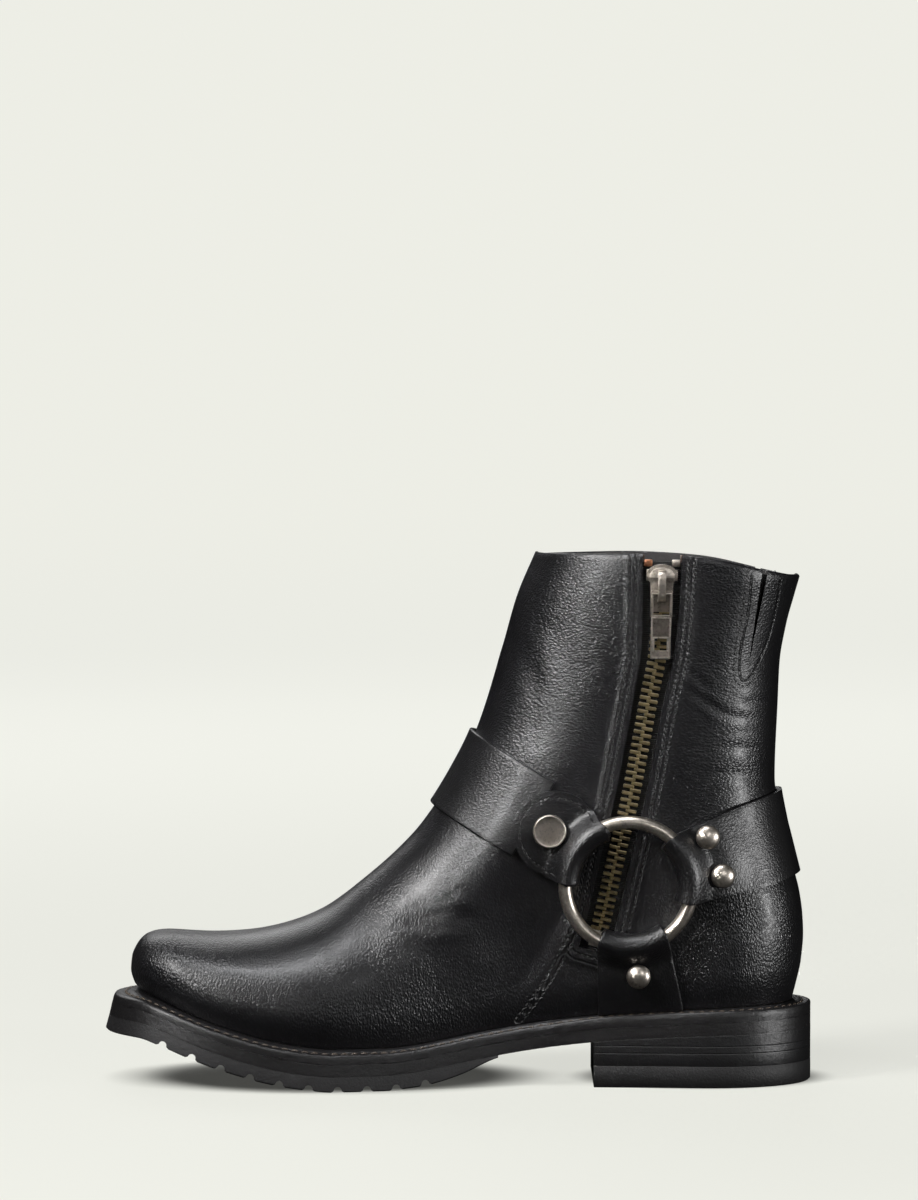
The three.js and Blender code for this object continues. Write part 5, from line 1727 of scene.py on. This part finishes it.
def make_pull():
    """The pull tab: a plate with a window for the bar above and a slot below, both with raised frames."""
    half = PULL_WIDTH / 2
    tilt = np.eye(4)
    tilt[:3, :3] = np.array(Matrix.Rotation(math.radians(PULL_TILT), 3, "X"))
    tilt[:3, 3] = (0, PIVOT_Y, PIVOT_Z)
    matrix = zip_frame(SLIDER_PLACE, 0, 0) @ tilt
    window = half - 1.1
    slim = half - PULL_WAIST
    low = PULL_BAR - PULL_LENGTH
    corner = PULL_CORNER
    edge = arc(half - corner, PULL_BAR - corner, corner, corner, 0, 90, 4)
    edge += arc(-half + corner, PULL_BAR - corner, corner, corner, 90, 180, 4)
    edge += [(-half, -9.4), (-slim, -10), (-slim, low + corner)]
    edge += arc(-slim + corner, low + corner, corner, corner, 180, 270, 4)
    edge += arc(slim - corner, low + corner, corner, corner, 270, 360, 4)
    edge += [(slim, -10), (half, -9.4)]
    slot_top, slot_low = -0.67 * PULL_LENGTH, -0.84 * PULL_LENGTH
    low_hole = box_outline(0.56 * half, slot_top, slot_low)
    top_hole = box_outline(window, -PULL_BAR, -PULL_BAR - WINDOW_HEIGHT)
    thin = PULL_THICKNESS / 2
    inside = box_outline(0.8 * slim, -10.2, low + 1.0)
    round_slot = box_outline(0.56 * half + 0.7, slot_top + 0.7, slot_low - 0.6)
    round_window = box_outline(window + 0.75, -PULL_BAR + 0.6, -PULL_BAR - WINDOW_HEIGHT - 0.6)
    parts = [
        plate(edge, -thin, thin * 0.55, matrix, [top_hole, low_hole]),
        plate(box_outline(half - 0.4, -9.7, low + 0.3), thin * 0.4, thin, matrix, [inside]),
        plate(round_slot, thin * 0.4, thin * 0.95, matrix, [low_hole]),
        plate(round_window, thin * 0.4, thin, matrix, [top_hole]),
    ]
    obj = join_parts("zip_pull_tab", parts, [NICKEL, DARK_NICKEL], (1, 0, 0, 0), 0.13)
    sharp_by_angle(obj)
    place(obj, "pull", "antique_nickel", "zip_pull")


def stop_block(name, distance, offset, size, material, slot, node):
    """A small clamped stop, rounded on every edge."""
    matrix = zip_frame(distance, offset, TEETH_LIFT)
    x, y, z = [s / 2 for s in size]
    part = plate([(-x, -y), (x, -y), (x, y), (-x, y)], -z, z, matrix)
    obj = join_parts(name, [part], [material], (0,), 0.3)
    place(obj, "boot", slot, node)


def make_zip():
    make_tape()
    make_teeth()
    make_slider()
    make_pull()
    chain = CHAIN_WIDTH
    stop_block("zip_end_stop", ZIP_LENGTH - 8, 0, (0.8 * chain, chain, TOOTH_THICKNESS),
               NICKEL, "antique_nickel", "zip_bottom_stop")
    top = (0.5 * chain, 0.4 * chain, 0.8 * TOOTH_THICKNESS)
    stop_block("zip_stop_front", ZIP_START + 1.4, 5.4, top, COPPER, "antique_brass", "zip_top_stop_front")
    stop_block("zip_stop_rear", ZIP_START + 1.4, -5.4, top, NICKEL, "antique_nickel", "zip_top_stop_rear")
    make_raw_edges()


def make_raw_edges():
    """Two bits of unpainted leather edge, where the shaft is cut at the top of the zip."""
    for name, offset in (("raw_edge_front", 1), ("raw_edge_rear", -1)):
        matrix = zip_frame(0.6, offset * (zip_half(0.6) - 0.1), -0.6)
        part = plate([(-0.4, -3.4), (0.4, -3.4), (0.6, -0.6), (-0.6, -0.6)], -0.5, 0.5, matrix)
        obj = join_parts(name, [part], [RAW_EDGE], (0,), 0.12)
        place(obj, "boot", "black_leather")


# Gores behind the slits
GORE_ROWS = table(
    "up from to",
    (0.6994, 0.0744, 0.1124), (0.7713, 0.0653, 0.1088), (0.8431, 0.0562, 0.1034), (0.9177, 0.049, 0.0979),
)
GORE_THICKNESS = 1.2
GORE_STEPS = 30
GORE_COLUMNS = 12
GORE_BELOW_RIM = 0.8


def make_gores():
    """Elastic behind the slits, up to the collar."""
    up = np.linspace(GORE_ROWS["up"][-1], GORE_ROWS["up"][0], GORE_STEPS)
    near = np.interp(up, GORE_ROWS["up"], GORE_ROWS["from"])
    far = np.interp(up, GORE_ROWS["up"], GORE_ROWS["to"])
    share = np.linspace(0, 1, GORE_COLUMNS)
    depth = -(WALL + LAYER_GAP + GORE_THICKNESS / 2)
    x, z = on_side(lerp(near[:, None], far[:, None], share), up[:, None] * np.ones(GORE_COLUMNS))
    top = feather_z(x[0]) + collar_up(x[0]) - GORE_BELOW_RIM
    for side, name, less in ((MEDIAL, "gore_medial", 0), (LATERAL, "gore_lateral", OUTER_DROP)):
        reach = z[-1] + (z - z[-1]) * (top - less - z[-1]) / (z[0] - z[-1])
        grid = lifted(side, x, reach, depth)
        obj = sheet("elastic_" + name, grid, GORE_THICKNESS, [ELASTIC], 0.3)
        place(obj, "boot", "gore_elastic", name)


# Sole
SOLE_STEPS = 220


def even_shares(side):
    """Shares along one side of the outline whose points lie at equal distances."""
    shares = np.linspace(0, 1, 1200)
    line = outline(side, shares, welt_out)
    steps = np.linalg.norm(np.diff(line, axis=0), axis=1)
    at = np.concatenate([[0], np.cumsum(steps)])
    return np.interp(np.linspace(0, at[-1], SOLE_STEPS + 1), at, shares)


EVEN = {side: even_shares(side) for side in (MEDIAL, LATERAL)}


def loop_shares(end=None):
    """Sides and shares once round the sole, or round the part behind a straight cut."""
    if end is None:
        inner, outer = EVEN[MEDIAL][:-1], EVEN[LATERAL]
    else:
        even = np.linspace(0, 1, SOLE_STEPS // 2)
        inner, outer = (share_at(side, end, welt_out) * even for side in (MEDIAL, LATERAL))
    outer = outer[:0:-1]
    sides = [np.full(len(inner), MEDIAL), np.full(len(outer), LATERAL)]
    return np.concatenate(sides), np.concatenate([inner, outer])


def level(value):
    """The same value at every place along the boot."""
    return lambda x: value + 0 * x


def plus(curve, value):
    """A curve along the boot with a value added to it."""
    return lambda x: curve(x) + value


def stacked(name, rows, materials, end=None, rough=0.0, worn_rows=()):
    """Solid layer of the sole: rows of (offset, height) from its top edge to its bottom edge."""
    sides, shares = loop_shares(end)
    rings = []
    for offset, height in rows:
        spots = outline(sides, shares, offset)
        rings.append(np.column_stack([spots, height(spots[:, 0])]))
    grid = np.array(rings)
    if rough:
        flat = grid.reshape(-1, 3)
        flat += shake(flat, 0.55) * rough
    count = grid.shape[1]
    faces = grid_faces(len(rows), count, closed=True)
    if end is None:
        faces += across_faces(len(rows), count, count // 2, count)
    else:
        faces += across_faces(len(rows), count, count // 2 - 1, count - 1)
    obj = make_object(name, grid.reshape(-1, 3), faces, materials)
    marks = np.zeros((len(rows), count))
    for row in worn_rows:
        marks[row] = 1
    store(obj.data, "worn", marks.ravel())
    sharp_by_angle(obj, 50)
    return obj


STITCH_ROW = 6
WELT_STITCH_PITCH = 3.9


def make_welt():
    """Rough strip round the boot, with a channel for its stitches and brown where its edge is rubbed."""
    sides, shares = loop_shares()

    def slope(x):
        return WELT_SLOPE * lerp(0.4, 1, smooth(x / BOOT_LENGTH, 0.28, 0.4))

    edge = flare(WELT_SLOPE)
    profile = [(level(-WALL), level(0)), (level(0.5), level(0))]
    for share in np.linspace(0.12, 0.84, 8):
        dip = 0.55 * math.exp(-(((share - 0.56) / 0.1) ** 2))
        profile.append((
            lambda x, s=share: lerp(0.5, edge(x), s),
            lambda x, s=share, d=dip: slope(x) * s + d,
        ))
    profile += [(plus(edge, -0.35), plus(slope, 0.02)), (edge, plus(slope, 0.5))]
    profile += [(flare(depth), level(depth)) for depth in (3.2, 4.4)]
    profile += [
        (plus(flare(WELT_UNDER), -0.05), level(WELT_UNDER)),
        (lambda x: 0.4 * welt_out(x), level(WELT_UNDER)),
        (level(-WALL), level(WELT_UNDER)),
    ]
    rings = []
    for offset, drop in profile:
        spots = outline(sides, shares, offset)
        x = feather_point(sides, shares)[:, 0]
        rings.append(np.column_stack([spots, feather_z(spots[:, 0]) - drop(x)]))
    grid = np.array(rings)
    flat = grid[2:-2].reshape(-1, 3)
    grid[2:-2] += (shake(flat, 0.5) * 0.16 + shake(flat, 1.7) * 0.1).reshape(grid[2:-2].shape)
    rows, count = grid.shape[:2]
    faces = grid_faces(rows, count, closed=True) + closing_faces(rows, count)
    obj = make_object("welt_strip", grid.reshape(-1, 3), faces, [WELT_EDGE])
    marks = np.zeros((rows, count))
    marks[9:12] = 1
    marks[1:3] = 0.5
    store(obj.data, "worn", marks.ravel())
    sharp_by_angle(obj, 60)
    place(obj, "boot", "edge_leather", "welt")
    offset, drop = profile[STITCH_ROW]
    spots = outline(sides, shares, offset)
    points = np.column_stack([spots, feather_z(spots[:, 0]) - drop(spots[:, 0]) + 0.32])
    closed = np.concatenate([points, points[:1]])
    up = np.tile([0, 0, 1.0], (len(closed), 1))
    thread = stitch_piece("welt_bead", 3.0, 1.05, WELT_THREAD)
    stitches = along_lines("welt_stitches", [(closed, up)], WELT_STITCH_PITCH, thread, WELT_THREAD)
    place(stitches, "boot", "edge_leather")


MIDSOLE_PROFILE = ((-0.42, 0.02), (0, 0.01), (1.2, 0.01), (2.0, 0), (3.0, 0.01), (3.9, 0), (4.33, 0.03))


def make_midsole():
    rows = []
    for depth, inset in MIDSOLE_PROFILE:
        under = MIDSOLE_TOP + depth
        rows.append((plus(flare(under), -inset), plus(feather_z, -under)))
    obj = stacked("midsole_board", rows, [SOLE_EDGE], rough=0.1, worn_rows=(0, 6))
    place(obj, "boot", "edge_leather", "midsole")


def make_insole():
    bottom = MIDSOLE_TOP - GAP
    inset = -(WALL + 2 * GAP)
    thick = INSOLE_THICKNESS
    rows = []
    for rise, tuck in ((thick, 1.0), (thick - 0.3, 0.3), (thick - 1, 0), (0, 0)):
        rows.append((level(inset - tuck), plus(feather_z, rise - bottom)))
    obj = stacked("insole_board", rows, [TAN])
    place(obj, "boot", "insole_leather", "insole")


HEEL_LINES = (21.6, 16.2, 13.4)
HEEL_LINE_PROFILE = ((0.5, 0), (0.09, 0), (0.03, 0.05), (-0.03, 0.05), (-0.09, 0), (-0.5, 0))


def make_heel():
    """Stack of leather lifts with fine lines between them, and the rubber lift under it."""
    top = MIDSOLE_UNDER + 0.25
    low = LIFT_THICKNESS + 0.05
    rows = [
        (plus(welt_out, -0.08), plus(feather_z, -top)),
        (welt_out, plus(feather_z, -top - 0.3)),
    ]
    for line in HEEL_LINES:
        for shift, inset in HEEL_LINE_PROFILE:
            rows.append((
                plus(welt_out, -inset),
                lambda x, h=line + shift: np.minimum(h + 0 * x, feather_z(x) - top - 0.4),
            ))
    rows += [(welt_out, level(low + 0.3)), (plus(welt_out, -0.12), level(low))]
    worn = (0, len(rows) - 1)
    obj = stacked("heel_leather_stack", rows, [HEEL_EDGE], end=HEEL_LENGTH, rough=0.06, worn_rows=worn)
    place(obj, "boot", "edge_leather", "heel_stack")
    rows = [
        (plus(welt_out, -0.12), level(LIFT_THICKNESS)),
        (welt_out, level(LIFT_THICKNESS - 0.25)),
        (plus(welt_out, 0.05), level(5.0)),
        (welt_out, level(0.6)),
        (plus(welt_out, -0.6), level(0)),
    ]
    obj = stacked("heel_rubber_lift", rows, [RUBBER], end=HEEL_LENGTH)
    place(obj, "boot", "black_rubber", "heel_lift")


def tread_under(x):
    """Underside of the tread, worn thin where it ends at the waist."""
    thin = 1 - smooth(x, TREAD_START, TREAD_START + TREAD_TAPER / 2)
    return tread_z(x) + (TREAD_END_THICKNESS - 0.45) * thin


def groove_block(x, y, length):
    """Cutter for one groove across the tread, with a rounded bottom."""
    depth = LUG_DEPTH
    half = LUG_GROOVE / 2
    section = [(-half - 2.4, -2.0), (half + 2.4, -2.0), (half + 0.9, 0.1), (half + 0.1, 0.6)]
    for turn in np.linspace(0.2, math.pi - 0.2, 8):
        section.append((half * math.cos(turn), depth * 0.3 + depth * 0.5 * math.sin(turn)))
    section += [(-half - 0.1, 0.6), (-half - 0.9, 0.1)]
    tilt = math.atan(float(tread_z(x + 1.0) - tread_z(x - 1.0)) / 2)
    sides = []
    for end in (-length / 2, length / 2):
        sides.append([(
            x + a * math.cos(tilt) - b * math.sin(tilt),
            y + end,
            float(tread_z(x)) + a * math.sin(tilt) + b * math.cos(tilt),
        ) for a, b in section])
    return prism("groove", sides[0], sides[1], RUBBER)


TREAD_POINTS = 150


def stretched_to(count, values):
    """A row of values with another number of steps."""
    return np.interp(np.linspace(0, 1, count), np.linspace(0, 1, len(values)), values)


def make_tread():
    """Rubber tread under the forefoot, cut into bars along its edges and its middle."""
    reach = {side: (share_at(side, TREAD_START, flare(BALL_HEIGHT)), 1.0) for side in (MEDIAL, LATERAL)}
    upper, under = flare(TREAD_TOP), flare(BALL_HEIGHT)
    levels = [
        (plus(upper, -0.05), lambda x: feather_z(x) - TREAD_TOP + 0.04),
        (upper, lambda x: feather_z(x) - TREAD_TOP - 0.12),
        (under, lambda x: np.minimum(tread_under(x) + 0.5, feather_z(x) - TREAD_TOP - 0.2)),
        (plus(under, -0.5), tread_under),
    ]
    rings = []
    for offset, height in levels:
        ring = []
        for side in (MEDIAL, LATERAL):
            start, end = reach[side]
            t = stretched_to(TREAD_POINTS, np.clip(EVEN[side], start, end))
            t = stretched_to(TREAD_POINTS, np.unique(t))
            spots = outline(side, t, offset)
            line = np.column_stack([spots, height(spots[:, 0])])
            ring.append(line if side == MEDIAL else line[::-1][1:])
        rings.append(np.concatenate(ring))
    grid = np.array(rings)
    count = grid.shape[1]
    faces = grid_faces(len(levels), count, closed=True)
    faces += across_faces(len(levels), count, count // 2, count - 1)
    obj = make_object("tread_rubber", grid.reshape(-1, 3), faces, [RUBBER])
    cutters = []

    def edge_y(side, x):
        return float(outline(side, share_at(side, x, welt_out), flare(BALL_HEIGHT))[1])

    x = TREAD_START + TREAD_TAPER
    while x < front_x(0.0) - LUG_PITCH / 2:
        for side in (MEDIAL, LATERAL):
            cutters.append(groove_block(x, edge_y(side, x) - side * (LUG_ROW / 2 - 2), LUG_ROW + 4))
        middle = x + LUG_PITCH / 2
        inner, outer = edge_y(MEDIAL, middle), edge_y(LATERAL, middle)
        width = inner - outer - 2 * (LUG_ROW + LUG_RIB)
        if width > LUG_ROW / 2:
            cutters.append(groove_block(middle, (inner + outer) / 2, width))
        x += LUG_PITCH
    cut_away(obj, cutters)
    sharp_by_angle(obj, 40)
    place(obj, "boot", "black_rubber", "outsole")


# Studio
PHOTO_SCALE = 0.39
PHOTO_WIDTH = 918
PHOTO_HEIGHT = 1200
PHOTO_HEEL = 812
PHOTO_FLOOR = 1080
CAMERA_RISE = 3.5
CAMERA_AWAY = 2.75
SENSOR = 36.0


def point_at(obj, target):
    """Turns a camera or a light towards a spot."""
    obj.rotation_euler = (Vector(target) - obj.location).to_track_quat("-Z", "Y").to_euler()


def make_camera():
    aim_x = (PHOTO_HEEL - PHOTO_WIDTH / 2) * PHOTO_SCALE + SHIFT[0]
    aim_z = (PHOTO_FLOOR - PHOTO_HEIGHT / 2) * PHOTO_SCALE
    target = Vector((aim_x * MM, 0, aim_z * MM))
    rise = math.radians(CAMERA_RISE)
    data = bpy.data.cameras.new("camera")
    data.sensor_width = SENSOR
    data.lens = SENSOR * CAMERA_AWAY / (PHOTO_HEIGHT * PHOTO_SCALE * MM)
    data.clip_end = 50
    camera = add_object("camera", data)
    camera.location = target + CAMERA_AWAY * Vector((0, math.cos(rise), math.sin(rise)))
    point_at(camera, target)
    bpy.context.scene.camera = camera


# Softboxes: place, aim, width, height, power, tint and spread
WHITE = (1, 1, 1)
SOFTBOXES = (
    ("key", (1.25, 1.1, 1.4), (0.02, 0, 0.1), 0.45, 0.55, 41, (1, 0.99, 0.985), 180),
    ("shaft", (0.78, 1.4, 0.6), (-0.035, 0.02, 0.205), 0.3, 0.3, 0.17, WHITE, 11),
    ("side", (-1.5, 0.62, 0.12), (-0.08, 0, 0.06), 0.3, 0.16, 12, WHITE, 180),
    ("rear_low", (-0.75, 1.9, 0.75), (0, 0, 0.15), 0.45, 0.25, 3.5, WHITE, 180),
    ("top", (0.15, 0.6, 1.8), (0, 0, 0.1), 0.5, 0.35, 17, (0.97, 0.98, 1), 180),
    ("back", (0.4, -1.6, 1.2), (0, 0, 0.1), 1.4, 0.6, 9, WHITE, 180),
)


def softbox(name, place_at, aim, width, height, power, tint, spread):
    data = bpy.data.lights.new(name, "AREA")
    data.shape = "RECTANGLE"
    data.size = width
    data.size_y = height
    data.energy = power
    data.spread = math.radians(spread)
    data.color = tint
    light = add_object(name, data)
    light.location = place_at
    point_at(light, aim)


# Painted contact shadows under the forefoot and the heel: middle, half length and half width, in metres
PAINTED_FLOOR_SHADOWS = ((0.049, 0.07, 0.047), (-0.095, 0.042, 0.034))


def make_floor():
    """Pale sweep with a painted contact shadow under the sole, which stays dim in the leather's reflections.
    """
    floor = Finish("studio_floor", Roughness=0.9)
    speck = floor.noise(3.0, 2.0)
    length = {"operation": "LENGTH"}
    away = floor.node("ShaderNodeVectorMath", "Value", length, Vector=floor.coords)
    # Painted contact shadow: under is 1 on the open floor and falls towards 0.08 inside each patch
    under = 1.0
    for middle, long, wide in PAINTED_FLOOR_SHADOWS:
        spot = floor.node(
            "ShaderNodeMapping", "Vector", Vector=floor.coords,
            Location=(-middle / long, 0.1, 0), Scale=(1 / long, 1 / wide, 0))
        reach = floor.node("ShaderNodeVectorMath", "Value", length, Vector=spot)
        under = reach.between(0.85, 1.3) * 0.92 * under + under * 0.08
    near = floor.mix(away.between(0.2, 2.0), rgb(0.64, 0.645, 0.597), rgb(0.8, 0.806, 0.75))
    far = floor.mix(away.between(2.0, 4.5), near, rgb(0.832, 0.836, 0.773))
    # Where under is low the floor's glow turns near-black: this is the painted contact shadow under the sole
    floor.set(
        Base_Color=floor.mix(speck, rgb(0.125, 0.126, 0.113), rgb(0.13, 0.131, 0.118)),
        Emission_Color=floor.mix(under, rgb(0.012, 0.012, 0.011), far),
        Emission_Strength=1.0,
    )
    nodes, links = floor.tree.nodes, floor.tree.links
    dim = nodes.new("ShaderNodeBsdfDiffuse")
    dim.inputs["Color"].default_value = rgb(0.02, 0.02, 0.019)
    ray = nodes.new("ShaderNodeLightPath")
    choice = nodes.new("ShaderNodeMixShader")
    links.new(ray.outputs["Is Camera Ray"], choice.inputs["Fac"])
    links.new(dim.outputs["BSDF"], choice.inputs[1])
    links.new(floor.shader.outputs["BSDF"], choice.inputs[2])
    links.new(choice.outputs["Shader"], nodes["Material Output"].inputs["Surface"])
    mesh = bpy.data.meshes.new("studio_floor")
    run, rise, bend = 4.2, 5.0, 1.6
    profile = [(5.0, 0.0), (-run, 0.0)]
    for turn in np.linspace(0.1, math.pi / 2, 14):
        profile.append((-run - bend * math.sin(turn), bend * (1 - math.cos(turn))))
    profile.append((-run - bend, rise))
    points = [(x, y, z) for y, z in profile for x in (-6.0, 6.0)]
    faces = [(2 * i, 2 * i + 1, 2 * i + 3, 2 * i + 2) for i in range(len(profile) - 1)]
    mesh.from_pydata(points, [], faces)
    mesh.materials.append(floor.material)
    shade_smooth(mesh)
    add_object("studio_floor", mesh)


def make_studio():
    make_floor()
    world = bpy.data.worlds.new("studio")
    world.use_nodes = True
    background = world.node_tree.nodes["Background"]
    background.inputs["Color"].default_value = rgb(0.93, 0.94, 0.88)
    background.inputs["Strength"].default_value = 0.05
    bpy.context.scene.world = world
    bpy.context.scene.view_settings.view_transform = "Standard"
    for box in SOFTBOXES:
        softbox(*box)


make_camera()
make_studio()
make_upper()
make_stitches()
make_harness()
make_zip()
make_gores()
make_welt()
make_midsole()
make_insole()
make_tread()
make_heel()
